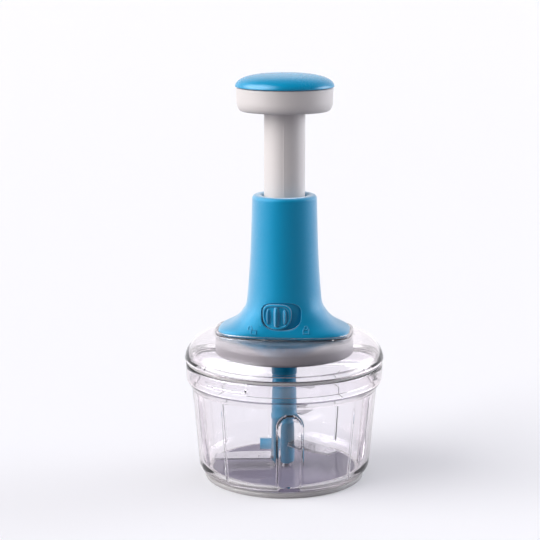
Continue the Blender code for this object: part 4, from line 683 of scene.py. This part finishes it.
def make_lid():
    wall = 0.0020
    crown_r = 0.0400
    skirt_r = 0.0608
    hole_r = 0.0182
    lug_r = skirt_r + 0.0014
    dome = LID_R - crown_r
    rise = CROWN_TOP - LID_LIP
    outer = [(hole_r, CROWN_TOP - wall), (hole_r, CROWN_TOP)]
    outer += line((hole_r, CROWN_TOP), (crown_r, CROWN_TOP), 2)
    outer += arc(crown_r, LID_LIP, dome, rise, 90, 4, 28)[1:]
    outer += [(LID_R, LID_LIP + 0.0012), (LID_R, LID_LIP + 0.0004), (LID_R - 0.0004, LID_LIP),
              (skirt_r, LID_LIP)]
    outer += line((skirt_r, LID_LIP), (skirt_r, SKIRT_FOOT), 22)
    inner = [(skirt_r - wall, SKIRT_FOOT)]
    inner += line((skirt_r - wall, SKIRT_FOOT), (skirt_r - wall, LID_LIP + wall), 4)
    inner += arc(crown_r, LID_LIP + wall, dome - wall, rise - 2 * wall, 0, 90, 28)[1:]
    lug_low = SKIRT_FOOT + 0.0005
    lug_high = lug_low + 0.0020
    turns = math.tau / LEDGE_COUNT

    def bend(i, r, z, angle):
        turn = math.degrees((angle + turns / 2) % turns - turns / 2)
        if abs(r - skirt_r) < 1e-6 and lug_low <= z <= lug_high and abs(turn) < 13:
            return lug_r
        return r

    shell = shell_mesh("lid_moulding", outer + inner, 2 * LID_STEPS, bend, closed=True)
    rim_low = CROWN_TOP - wall / 2
    ways = [(FOOT_HALF_WIDTH + 0.0020, FOOT_HALF_DEPTH + 0.0020, rim_low, LID_TOP),
            (FOOT_HALF_WIDTH + 0.0004, FOOT_HALF_DEPTH + 0.0004, CROWN_TOP, LID_TOP + wall)]
    rim, room = [tower_mesh("tower_rim", [(z, wide, deep, TOWER_SQUARENESS) for z in (low, high)],
                            ROUND)
                 for wide, deep, low, high in ways]
    steps = [("UNION", carved(rim, [("DIFFERENCE", room)]))]
    for spot in screw_spots():
        steps.append(("DIFFERENCE", post_mesh("screw_hole", 0.0018, CROWN_TOP - 2 * wall,
                                              CROWN_TOP + wall, 20, spot.x, spot.y)))
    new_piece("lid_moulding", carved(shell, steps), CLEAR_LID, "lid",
              ["lid_shell"])


def make_seal():
    inner = COLLAR_R - BOWL_WALL
    edge = 0.0004
    profile = arc(SEAL_R - edge, SEAL_HIGH - edge, edge, edge, 90, 0, 3)
    profile += arc(SEAL_R - edge, SEAL_LOW + edge, edge, edge, 0, -90, 3)
    profile += [(inner, SEAL_LOW), (inner, SEAL_HIGH)]
    mesh = shell_mesh("seal_ring", profile, ROUND, closed=True)
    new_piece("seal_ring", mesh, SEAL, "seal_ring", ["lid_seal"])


# Pan under the lid

def make_pan():
    floor_low = PAN_LIP + 0.0024
    floor_high = floor_low + 0.0020
    top = floor_low + 0.0107
    corner = 0.0025
    wall = 0.0018
    lip = 0.0087
    spring_wall = 0.0179
    shoulder = 0.0040
    ring_r = 0.0300
    bush_r = 0.0065
    bush_wall_r = 0.0095
    bush_top = floor_low + 0.0057
    seat_r = spring_wall - 0.0027
    outer = [(PAN_R - wall, top - shoulder), (PAN_R - shoulder, top - wall), (ring_r, top - wall),
             (ring_r, top)]
    outer += arc(PAN_R - shoulder, top - shoulder, shoulder, shoulder, 90, 0, 10)
    outer += arc(PAN_R - corner, floor_low + corner, corner, corner, 0, -90, 8)
    outer += arc(lip + 0.0036, PAN_LIP, 0.0024, 0.0024, 90, 180, 6)
    outer += [(lip, PAN_LIP), (lip, floor_low), (bush_r, floor_low), (bush_r, bush_top),
              (bush_wall_r, bush_top), (bush_wall_r, floor_high), (seat_r, floor_high),
              (seat_r, SPRING_WALL_TOP), (spring_wall, SPRING_WALL_TOP),
              (spring_wall, floor_high), (PAN_R - wall, floor_high)]
    mesh = shell_mesh("pan_moulding", outer, ROUND, closed=True)
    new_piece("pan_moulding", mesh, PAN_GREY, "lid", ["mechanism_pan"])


# Plunger

def make_tube():
    flange_high = HOUSING_HIGH - 0.0093
    flange_low = flange_high - 0.0050
    edge = 0.0005
    wall = 0.0020
    head = TUBE_HIGH - 0.0030
    profile = [(PAD_SCREW_WAY_R, TUBE_HIGH), (TUBE_R - edge, TUBE_HIGH), (TUBE_R, TUBE_HIGH - edge)]
    profile += line((TUBE_R, TUBE_HIGH - edge), (TUBE_R, flange_high), 12)
    profile += [(FLANGE_R - edge, flange_high), (FLANGE_R, flange_high - edge),
                (FLANGE_R, flange_low + edge), (FLANGE_R - edge, flange_low), (TUBE_R, flange_low)]
    profile += [(TUBE_R, TUBE_LOW), (TUBE_R - wall, TUBE_LOW), (TUBE_R - wall, head),
                (PAD_SCREW_WAY_R, head)]

    def bend(i, r, z, angle):
        parting = r == TUBE_R and z > flange_high and abs(math.degrees(angle) - PARTING_DEG) < 0.5
        return r + PARTING_HEIGHT if parting else r

    mesh = shell_mesh("plunger_sleeve", profile, ROUND, bend, closed=True)
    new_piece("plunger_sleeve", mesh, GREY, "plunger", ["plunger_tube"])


def make_pad():
    foot_r = 0.0310
    wall = 0.0022
    socket = TUBE_R + 0.0003
    hub = PAD_LOW + 0.0058
    floor = PAD_LOW + 0.0024
    edge = 0.0005
    turn_wide = 0.0032
    turn_high = 0.0065
    profile = [(PAD_R - wall, PAD_HIGH), (PAD_R - edge, PAD_HIGH), (PAD_R, PAD_HIGH - edge)]
    profile += line((PAD_R, PAD_HIGH - edge), (foot_r, PAD_LOW + turn_high), 6)
    profile += arc(foot_r - turn_wide, PAD_LOW + turn_high, turn_wide, turn_high, 0, -90, 14)[1:]
    profile += [(socket, PAD_LOW), (socket, hub), (PAD_SCREW_WAY_R, hub),
                (PAD_SCREW_WAY_R, hub + 0.0024),
                (socket + wall, hub + 0.0024), (socket + wall, floor), (foot_r - wall, floor)]
    mesh = shell_mesh("pad_cup", profile, ROUND, closed=True)
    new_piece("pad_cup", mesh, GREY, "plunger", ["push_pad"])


def make_cap():
    equator = CAP_LOW + 0.0005
    dome = CAP_HIGH - equator
    plug = PAD_R - 0.0022 - 0.0010
    plug_inner = plug - 0.0015
    plug_low = CAP_LOW - 0.0037
    rows = 64
    profile = [(0, CAP_HIGH)]
    for k in range(1, rows + 1):
        angle = math.pi / 2 * (1 - (k / rows) ** 2.2)
        share = abs(math.cos(angle)) ** (1 / 3)
        height = dome * math.sin(angle) * (1 - 0.3 * share * share)
        profile.append((CAP_R * share, equator + height))
    profile += [(CAP_R - 0.0003, CAP_LOW + 0.0001), (CAP_R - 0.0006, CAP_LOW), (plug, CAP_LOW),
                (plug, plug_low), (plug_inner, plug_low), (plug_inner, equator)]
    profile += arc(0, equator, plug_inner, dome - 0.0020, 25, 86, 10)
    profile += [(0, CAP_HIGH - 0.0020)]
    mesh = shell_mesh("cap_dome", profile, ROUND)
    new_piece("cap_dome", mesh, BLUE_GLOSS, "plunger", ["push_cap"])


# Tower

FLARE_SHARES = [
    (0.000, 0.985), (0.050, 1.000), (0.072, 0.985), (0.096, 0.955), (0.130, 0.890),
    (0.188, 0.733), (0.245, 0.576), (0.322, 0.419), (0.414, 0.288), (0.521, 0.183),
    (0.636, 0.085), (0.780, 0.028), (1.000, 0.000),
]
NECK_SHARES = [(0.113, 0.80), (0.340, 0.467), (0.660, 0.200), (1.000, 0.000)]
FLARE_HEIGHT = 0.0261
NECK_R = 0.0240
TOP_R = 0.0210
TOP_EDGE = 0.0024
TOWER_WALL = 0.0018
TOWER_SQUARENESS = 3.2
RECESS_HEIGHT = 0.0174
RECESS_MIDDLE = HOUSING_LOW + 0.0057 + RECESS_HEIGHT / 2
RECESS_EDGE_R = 0.00055

# Upright outlines at the lock: width, height and squareness of the foot
RECESS = (0.0262, RECESS_HEIGHT, 2.8)
TRAY = (0.0302, 0.0214, 2.8)
RECESS_CORE_R = 0.0230
TRAY_CORE_R = 0.0210
OUTLINE_STEPS = 72
OUTLINE_CORNER = 2 / 3.2

# Lock signs: where their middles stand, and how thick their lines are
SHUT_LOCK = (0.0162, HOUSING_LOW + 0.0064)
OPEN_LOCK = (-0.0176, HOUSING_LOW + 0.0054)
OPEN_SHIFT = -0.0024
SIGN_WIRE_R = 0.00042


def tower_levels(inset):
    """Height, half width, half depth and squareness from the foot up, drawn in and down."""
    levels = []
    for rise, spread in FLARE_SHARES:
        levels.append((HOUSING_LOW + FLARE_HEIGHT * rise - inset,
                       NECK_R + (FOOT_HALF_WIDTH - NECK_R) * spread - inset,
                       NECK_R + (FOOT_HALF_DEPTH - NECK_R) * spread - inset,
                       2 + (TOWER_SQUARENESS - 2) * math.sqrt(spread)))
    foot = HOUSING_LOW + FLARE_HEIGHT
    for rise, spread in NECK_SHARES:
        radius = TOP_R + (NECK_R - TOP_R) * spread - inset
        levels.append((foot + (HOUSING_HIGH - TOP_EDGE - foot) * rise - inset, radius, radius, 2))
    return levels


def eased(levels, steps):
    """Levels with more between them, on a smooth curve through them all."""
    finer = []
    for i in range(len(levels) - 1):
        before = levels[max(i - 1, 0)]
        after = levels[min(i + 2, len(levels) - 1)]
        start, end = levels[i], levels[i + 1]
        for k in range(steps):
            t = k / steps
            finer.append(tuple(
                0.5 * (2 * b + (c - a) * t + (2 * a - 5 * b + 4 * c - d) * t * t
                       + (3 * b - a - 3 * c + d) * t ** 3)
                for a, b, c, d in zip(before, start, end, after)))
    return finer + [levels[-1]]


def tower_mesh(name, levels, steps):
    return loft_mesh(name, [[(x, y, z) for x, y in polar_oval(wide, deep, square, steps)]
                            for z, wide, deep, square in levels])


def shield(width, height, foot_squareness):
    """Outline of the lock's recess, tray or knob from the front: flat head, rounder foot."""
    outline = []
    for k in range(OUTLINE_STEPS):
        across = math.cos(math.tau * k / OUTLINE_STEPS)
        along = math.sin(math.tau * k / OUTLINE_STEPS)
        x = width / 2 * math.copysign(abs(across) ** OUTLINE_CORNER, across)
        z = height / 2 * math.copysign(abs(along) ** OUTLINE_CORNER, along)
        if z < 0:
            narrow = (1 - min(abs(2 * z / height), 1) ** foot_squareness) ** (1 / foot_squareness)
            x = math.copysign(width / 2 * narrow, x)
        outline.append((x * (1 - 0.06 * (0.5 - z / height)), z))
    return outline


def facing_block(name, outline, core_r):
    """Block over an upright outline in front of the axis, from a round back outwards."""
    rings = [[(x, y, RECESS_MIDDLE + z) for x, z in outline]
             for y in (0, -FOOT_HALF_WIDTH - 0.002)]
    core = post_mesh(f"{name}_core", core_r, RECESS_MIDDLE - RECESS_HEIGHT,
                     RECESS_MIDDLE + RECESS_HEIGHT, ROUND)
    return carved(loft_mesh(name, rings), [("DIFFERENCE", core)])


def on_front(levels, outline):
    """Points of an upright outline, laid on the tower's front."""
    points = []
    for x, z in outline:
        lower, upper = next((a, b) for a, b in zip(levels, levels[1:]) if a[0] <= z <= b[0])
        share = (z - lower[0]) / (upper[0] - lower[0])
        wide, deep, square = [a + (b - a) * share for a, b in zip(lower[1:], upper[1:])]
        points.append(Vector((x, -deep * (1 - abs(x / wide) ** square) ** (1 / square), z)))
    return points


def lock_sign(levels, middle, shift):
    """Padlock outline as two raised wires; its shackle may stand to one side."""
    half = 0.0017
    low = -0.0025
    bow = 0.0011
    body = [(-half, 0), (-half, -0.0012), (-half, low), (0, low), (half, low), (half, -0.0012),
            (half, 0), (0, 0)]
    shackle = [(bow, 0)] + arc(0, 0.0010, bow, bow, 0, 180, 8) + [(-bow, 0)]
    outlines = [(body, True), ([(x + shift, z) for x, z in shackle], False)]
    return [wire_mesh("lock_sign", on_front(levels, [(middle[0] + x, middle[1] + z)
                                                     for x, z in outline]), SIGN_WIRE_R, closed)
            for outline, closed in outlines]


def make_tower():
    levels = eased(tower_levels(0.0), 4)
    for r, z in arc(TOP_R - TOP_EDGE, HOUSING_HIGH - TOP_EDGE, TOP_EDGE, TOP_EDGE, 0, 90, 10)[1:]:
        levels.append((z, r, r, 2))
    outside = tower_mesh("tower_moulding", levels, TOWER_STEPS)
    room = [level for level in tower_levels(TOWER_WALL)[::2]
            if HOUSING_LOW < level[0] < HOUSING_HIGH - 0.0060]
    ceiling = HOUSING_HIGH - 0.0032
    room = [(HOUSING_LOW - 0.002, *room[0][1:])] + eased(room, 3)
    room += [(ceiling, TOP_R - TOWER_WALL, TOP_R - TOWER_WALL, 2)]
    inside = tower_mesh("tower_room", room, TOWER_STEPS // 2)
    tray = facing_block("lock_tray", shield(*TRAY), TRAY_CORE_R)
    tray = carved(tray, [("INTERSECT", outside.copy())])
    opening = TUBE_R + 0.0009
    mouth = [(0, HOUSING_HIGH + 0.002), (opening + 0.0038, HOUSING_HIGH + 0.002),
             (opening + 0.0018, HOUSING_HIGH), (opening + 0.0006, HOUSING_HIGH - 0.0007),
             (opening, HOUSING_HIGH - 0.0020), (opening, ceiling - 0.002), (0, ceiling - 0.002)]
    recess = facing_block("lock_recess", shield(*RECESS), RECESS_CORE_R)
    edge = [(x, RECESS_MIDDLE + z) for x, z in shield(*RECESS)]
    edge = wire_mesh("recess_edge", on_front(levels, edge), RECESS_EDGE_R, True)
    steps = [("DIFFERENCE", inside), ("UNION", tray),
             ("DIFFERENCE", shell_mesh("tower_mouth", mouth, ROUND)), ("DIFFERENCE", recess),
             ("DIFFERENCE", edge)]
    steps += [("UNION", wire) for wire in lock_sign(levels, SHUT_LOCK, 0.0)]
    steps += [("UNION", wire) for wire in lock_sign(levels, OPEN_LOCK, OPEN_SHIFT)]
    mesh = carved(outside, steps)
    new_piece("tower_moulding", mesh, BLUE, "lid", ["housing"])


KNOB_WIDTH = 0.0193
KNOB_HEIGHT = 0.0164
KNOB_BACK_R = 0.0233
KNOB_FACE_R = 0.0254
KNOB_DISH_R = 0.0245
KNOB_DISH_INSET = 0.0036
KNOB_FOOT_SQUARENESS = 2.3
KNOB_REST = math.radians(-6.65)

# Grip ribs: turn in degrees, reach from the axis, half height and half width
KNOB_RIBS = [(-12.5, 0.0265, 0.0050, 0.0011), (0, 0.0273, 0.0067, 0.0018),
             (12.5, 0.0265, 0.0050, 0.0011)]


def rib_mesh(turn, reach_r, half, wide):
    """Upright grip rib with a narrow crest, low at both ends."""
    heading = Matrix.Rotation(math.radians(turn), 4, "Z")
    rings = []
    for k in range(17):
        share = -1 + k / 8
        full = max(math.sqrt(1 - share ** 4), 0.05)
        section = polar_oval((reach_r - KNOB_DISH_R) * full, wide * (0.4 + 0.6 * full), 1.5, 32)
        rings.append([heading @ Vector((v, -KNOB_DISH_R - max(u, -0.0006),
                                        RECESS_MIDDLE + half * share)) for u, v in section])
    return loft_mesh("grip_rib", rings)


def make_knob():
    """Dished lock knob with a bevelled edge and three grip ribs, on its stem."""
    layers = [(KNOB_BACK_R, 0.0, share) for share in (0.04, 0.35, 0.7)]
    layers += [(KNOB_BACK_R, 0.0, 1), (KNOB_FACE_R - 0.0004, 0.0, 1),
               (KNOB_FACE_R - 0.0001, 0.0003, 1), (KNOB_FACE_R, 0.0008, 1),
               (KNOB_FACE_R, 0.0020, 1), (KNOB_FACE_R - 0.0002, 0.0026, 1)]
    layers += [(KNOB_DISH_R, KNOB_DISH_INSET, share) for share in (1, 0.7, 0.35, 0.04)]
    rings = []
    for radius, inset, share in layers:
        outline = shield((KNOB_WIDTH - inset) * share, (KNOB_HEIGHT - inset) * share,
                         KNOB_FOOT_SQUARENESS)
        rings.append([(x, -math.sqrt(radius * radius - x * x), RECESS_MIDDLE + z)
                      for x, z in outline])
    stem = [[(x, y, RECESS_MIDDLE + z) for x, y in ((-0.0023, -0.0210), (0.0023, -0.0210),
                                                   (0.0023, -0.0236), (-0.0023, -0.0236))]
            for z in (-0.0030, 0.0030)]
    bore = [(0.0012 * math.cos(math.tau * k / 24), 0.0012 * math.sin(math.tau * k / 24))
            for k in range(24)]
    hole = [[(x, y, RECESS_MIDDLE + z) for x, z in bore] for y in (-0.0200, -0.0244)]
    steps = [("UNION", rib_mesh(*rib)) for rib in KNOB_RIBS]
    steps += [("UNION", loft_mesh("knob_stem", stem)), ("DIFFERENCE", loft_mesh("knob_hole", hole))]
    mesh = carved(loft_mesh("knob_moulding", rings), steps)
    mesh.transform(Matrix.Rotation(KNOB_REST, 4, "Z"))
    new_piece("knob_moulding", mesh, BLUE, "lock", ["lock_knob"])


# Nodes that keep their shape: copies with joined faces, so that round faces are smooth

KEPT = [
    ("blade_shaft", "shaft_moulding", BLUE, "blade_unit", "blue_plastic"),
    ("drive_coupler", "coupler_moulding", BLUE, "drive", "blue_plastic"),
    ("plunger_guide", "guide_ring", NATURAL, "lid", "white_plastic"),
    ("drive_nut", "nut_moulding", NATURAL, "plunger", "white_plastic"),
    ("lock_latch", "latch_moulding", NATURAL, "lock", "white_plastic"),
    ("spiral_rod", "twisted_rod", BRIGHT, "drive", "bright_steel"),
    ("bearing_bush", "bush_sleeve", BRASS, "lid", "bush_brass"),
    ("pivot_pin", "pivot_stud", BRIGHT, "bowl", "bright_steel"),
    ("cross_pin", "cross_dowel", BRIGHT, "drive", "bright_steel"),
    ("nut_pin_1", "nut_dowel_1", BRIGHT, "plunger", "bright_steel"),
    ("nut_pin_2", "nut_dowel_2", BRIGHT, "plunger", "bright_steel"),
    ("thrust_washer", "thrust_ring", BRIGHT, "lid", "bright_steel"),
    ("spring_washer", "spring_seat", BRIGHT, "lid", "bright_steel"),
    ("lock_screw", "lock_fastener", BRIGHT, "lock", "bright_steel"),
]


def make_kept():
    for node, name, material, body, slot in KEPT:
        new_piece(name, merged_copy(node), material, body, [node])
    for node in ("blade_lower", "blade_middle", "blade_upper"):
        nodes[node].data.materials.clear()
        nodes[node].data.materials.append(STEEL)


# What geometry trees make: screws and the return spring

def drive_screws(graph, shape, size):
    """A screw with a round head and a hexagonal socket at each point, its head downwards."""
    def upright(sides, radius, low, high, top=None):
        post = graph.node("GeometryNodeMeshCone", {}, {
            "Vertices": sides, "Radius Bottom": radius, "Radius Top": radius if top is None else top,
            "Depth": high - low})
        lift = graph.node("ShaderNodeCombineXYZ", {}, {2: low})
        return graph.node("GeometryNodeTransform", {}, {
            "Geometry": post.outputs[0], "Translation": lift.outputs[0]}).outputs[0]

    def joined(operation, first, second):
        kit = graph.node("GeometryNodeMeshBoolean", {"operation": operation, "solver": "EXACT"})
        graph.tree.links.new(second, kit.inputs[1])
        graph.tree.links.new(first, kit.inputs[0 if operation == "DIFFERENCE" else 1])
        return kit.outputs[0]

    radius = size["Shank radius"]
    head = size["Head radius"]
    height = size["Head height"]
    skirt = upright(32, head, height * -0.45, height * 0.0)
    crown = upright(32, head * 0.80, height * -1, height * -0.45, head)
    shank = upright(24, radius, height * -0.02, size["Length"] - radius)
    tip = upright(24, radius, size["Length"] - radius, size["Length"], radius * 0.67)
    socket = upright(6, head * 0.45, height * -1.5, height * -0.5)
    whole = joined("UNION", joined("UNION", skirt, crown), joined("UNION", shank, tip))
    screw = joined("DIFFERENCE", whole, socket)
    return graph.node("GeometryNodeInstanceOnPoints", {}, {
        "Points": shape, "Instance": screw}).outputs[0]


def screw_mesh(name, seats, length):
    base = bpy.data.meshes.new(name)
    base.from_pydata(seats, [], [])
    sizes = {"Shank radius": 0.0015, "Head radius": 0.0028, "Head height": SCREW_HEAD,
             "Length": length}
    return smooth(grown(name, sizes, drive_screws, base))


def make_screws():
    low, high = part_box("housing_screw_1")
    seats = [(spot.x, spot.y, low.z + SCREW_HEAD) for spot in screw_spots()]
    mesh = screw_mesh("tower_screws", seats, high.z - low.z - SCREW_HEAD)
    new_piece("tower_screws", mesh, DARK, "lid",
              [f"housing_screw_{i}" for i in range(1, 5)])
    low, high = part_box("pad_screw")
    mesh = screw_mesh("pad_screw", [(0, 0, SCREW_HEAD - high.z)], high.z - low.z - SCREW_HEAD)
    mesh.transform(Matrix.Rotation(math.pi, 4, "X"))
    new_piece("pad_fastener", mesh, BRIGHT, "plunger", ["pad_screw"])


def wind_coil(graph, shape, size):
    """Spring wound round the axis, with an end turn lying closed on each seat."""
    points = graph.node("GeometryNodeMeshLine", {}, {"Count": COIL_POINTS})
    index = graph.value("GeometryNodeInputIndex")
    turn = index * size["Turns"] / (COIL_POINTS - 1)
    angle = turn * math.tau
    live = ((turn - 1) / (size["Turns"] - 2)).clamp()
    climb = turn.math("MINIMUM", 1) + (turn - size["Turns"] + 1).math("MAXIMUM", 0)
    closed = size["Wire radius"] * 2 + size["Closed gap"]
    rise = size["Height"] - size["Wire radius"] * 2 - closed * 2
    z = size["Foot height"] + size["Wire radius"] + closed * climb + rise * live
    spot = graph.node("ShaderNodeCombineXYZ", {}, {
        0: size["Radius"] * angle.math("COSINE"), 1: size["Radius"] * angle.math("SINE"), 2: z})
    placed = graph.node("GeometryNodeSetPosition", {}, {
        "Geometry": points.outputs[0], "Position": spot.outputs[0]})
    path = graph.node("GeometryNodeMeshToCurve", {}, {0: placed.outputs[0]})
    wire = graph.node("GeometryNodeCurvePrimitiveCircle", {}, {
        "Resolution": 10, "Radius": size["Wire radius"]})
    return graph.node("GeometryNodeCurveToMesh", {}, {
        "Curve": path.outputs[0], "Profile Curve": wire.outputs[0],
        "Fill Caps": True}).outputs[0]


def make_coil():
    """Return spring wound between the low and high ends of its CAD node."""
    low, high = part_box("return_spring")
    sizes = {"Turns": 9.0, "Radius": 0.0160, "Wire radius": 0.0007, "Closed gap": 0.0006,
             "Foot height": low.z, "Height": high.z - low.z}
    mesh = smooth(grown("return_coil", sizes, wind_coil, bpy.data.meshes.new("coil_base")), 60)
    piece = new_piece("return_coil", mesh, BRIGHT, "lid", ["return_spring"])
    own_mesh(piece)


# Stage

def first_seen(graph, kinds):
    """1 for rays of these kinds that haven't left a matt surface yet, and 0 for the rest."""
    path = graph.node("ShaderNodeLightPath").outputs
    seen = Value(graph, path[kinds[0]])
    for kind in kinds[1:]:
        seen = seen.math("MAXIMUM", path[kind])
    return seen * Value(graph, path["Diffuse Depth"]).math("LESS_THAN", 0.5)


def make_floor():
    mesh = bpy.data.meshes.new("floor")
    work = bmesh.new()
    bmesh.ops.create_grid(work, x_segments=1, y_segments=1, size=30)
    work.to_mesh(mesh)
    work.free()
    floor = bpy.data.objects.new("floor", mesh)
    floor.location = (0, 0, -0.0002)
    bpy.context.scene.collection.objects.link(floor)
    finish = Finish("white_table", (0.234, 0.228, 0.256), 0.60, Specular_IOR_Level=0.2)
    finish.set("Roughness", (finish.noise(30) - 0.5) * 0.1 + 0.6)
    seen = first_seen(finish, ("Is Camera Ray", "Is Glossy Ray", "Is Transmission Ray"))
    finish.tint(seen, FLOOR_SEEN)
    glow = finish.node("ShaderNodeEmission", {}, {"Color": (0.95, 0.95, 0.985, 1)})
    shown = finish.mix(seen * FLOOR_GLOW, finish.shader.outputs[0], glow.outputs[0])
    finish.tree.links.new(shown, finish.output.inputs["Surface"])
    mesh.materials.append(finish.material)


# Glows in reflections: turn, height, inner and outer reach in degrees, and strength
GLOWS = [(-155, 28, 8, 50, 9.0), (18, 2, 6, 30, 6.0)]

# Suns: name, turn, height and angle in degrees, strength and colour
SUNS = [("key", -161, 30, 60, 3.9, (1.0, 0.985, 0.97)),
        ("rim", 25, 8, 50, 4.0, (0.90, 0.94, 1.0))]


def towards(turn, height):
    """Direction at a compass turn and a height above the table, in degrees."""
    flat = math.cos(math.radians(height))
    return Vector((flat * math.cos(math.radians(turn)), flat * math.sin(math.radians(turn)),
                   math.sin(math.radians(height))))


def glow(studio, view, turn, height, inner, outer, strength):
    """Soft round patch of light in the world, between two angles in degrees from its middle."""
    near = studio.value("ShaderNodeVectorMath", {"operation": "DOT_PRODUCT"},
                        {0: view, 1: towards(turn, height)}, 1)
    return ramp(near, math.cos(math.radians(outer)), math.cos(math.radians(inner)), 0.0, strength)


def add_sun(name, turn, height, angle, strength, colour):
    """Soft light on matt surfaces; reflections and clear plastic see the world instead."""
    light = bpy.data.lights.new(name, "SUN")
    light.angle = math.radians(angle)
    light.energy = strength
    light.color = colour
    lamp = bpy.data.objects.new(name, light)
    source = towards(turn, height)
    lamp.location = source
    lamp.rotation_euler = (-source).to_track_quat("-Z", "Y").to_euler()
    lamp.visible_glossy = False
    lamp.visible_transmission = False
    bpy.context.scene.collection.objects.link(lamp)


def make_light():
    world = bpy.data.worlds.new("studio")
    bpy.context.scene.world = world
    world.use_nodes = True
    studio = Graph(world.node_tree)
    view = studio.node("ShaderNodeTexCoord").outputs["Generated"]
    x, y, z = studio.split(view)
    mirrored = ramp(y, -0.15, 0.55, 0.10, 1.0) * ramp(z, 0.45, 0.9, 1.0, 0.35)
    for patch in GLOWS:
        mirrored = mirrored + glow(studio, view, *patch)
    through = ramp(y, -0.7, 0.0, 0.30, 1.0) * ramp(z, 0.30, 0.75, 1.0, 0.30)
    strength = (first_seen(studio, ("Is Camera Ray",)) * (1 - AMBIENT)
                + first_seen(studio, ("Is Glossy Ray",)) * (mirrored - AMBIENT)
                + first_seen(studio, ("Is Transmission Ray",)) * (through - AMBIENT) + AMBIENT)
    back = studio.tree.nodes["Background"]
    back.inputs["Color"].default_value = (0.98, 0.97, 1.0, 1)
    studio.tree.links.new(strength.socket, back.inputs["Strength"])
    for sun in SUNS:
        add_sun(*sun)


def make_camera():
    lens = bpy.data.cameras.new("camera")
    lens.lens = CAMERA_LENS
    lens.sensor_width = 36
    lens.clip_start = 0.05
    lens.clip_end = 100
    camera = bpy.data.objects.new("camera", lens)
    turn = Matrix.Rotation(CAMERA_TURN, 4, "Z")
    camera.location = turn @ Vector((CAMERA_SIDE, -CAMERA_DISTANCE, CAMERA_HEIGHT))
    camera.rotation_euler = (math.pi / 2 - CAMERA_DROP, 0, CAMERA_TURN)
    bpy.context.scene.collection.objects.link(camera)
    bpy.context.scene.camera = camera


for make in (make_bowl, make_foot, make_lid, make_seal, make_pan, make_tube, make_pad, make_cap,
             make_tower, make_knob, make_kept, make_screws, make_coil, make_floor, make_light,
             make_camera):
    make()
bpy.context.scene.view_settings.view_transform = "Standard"
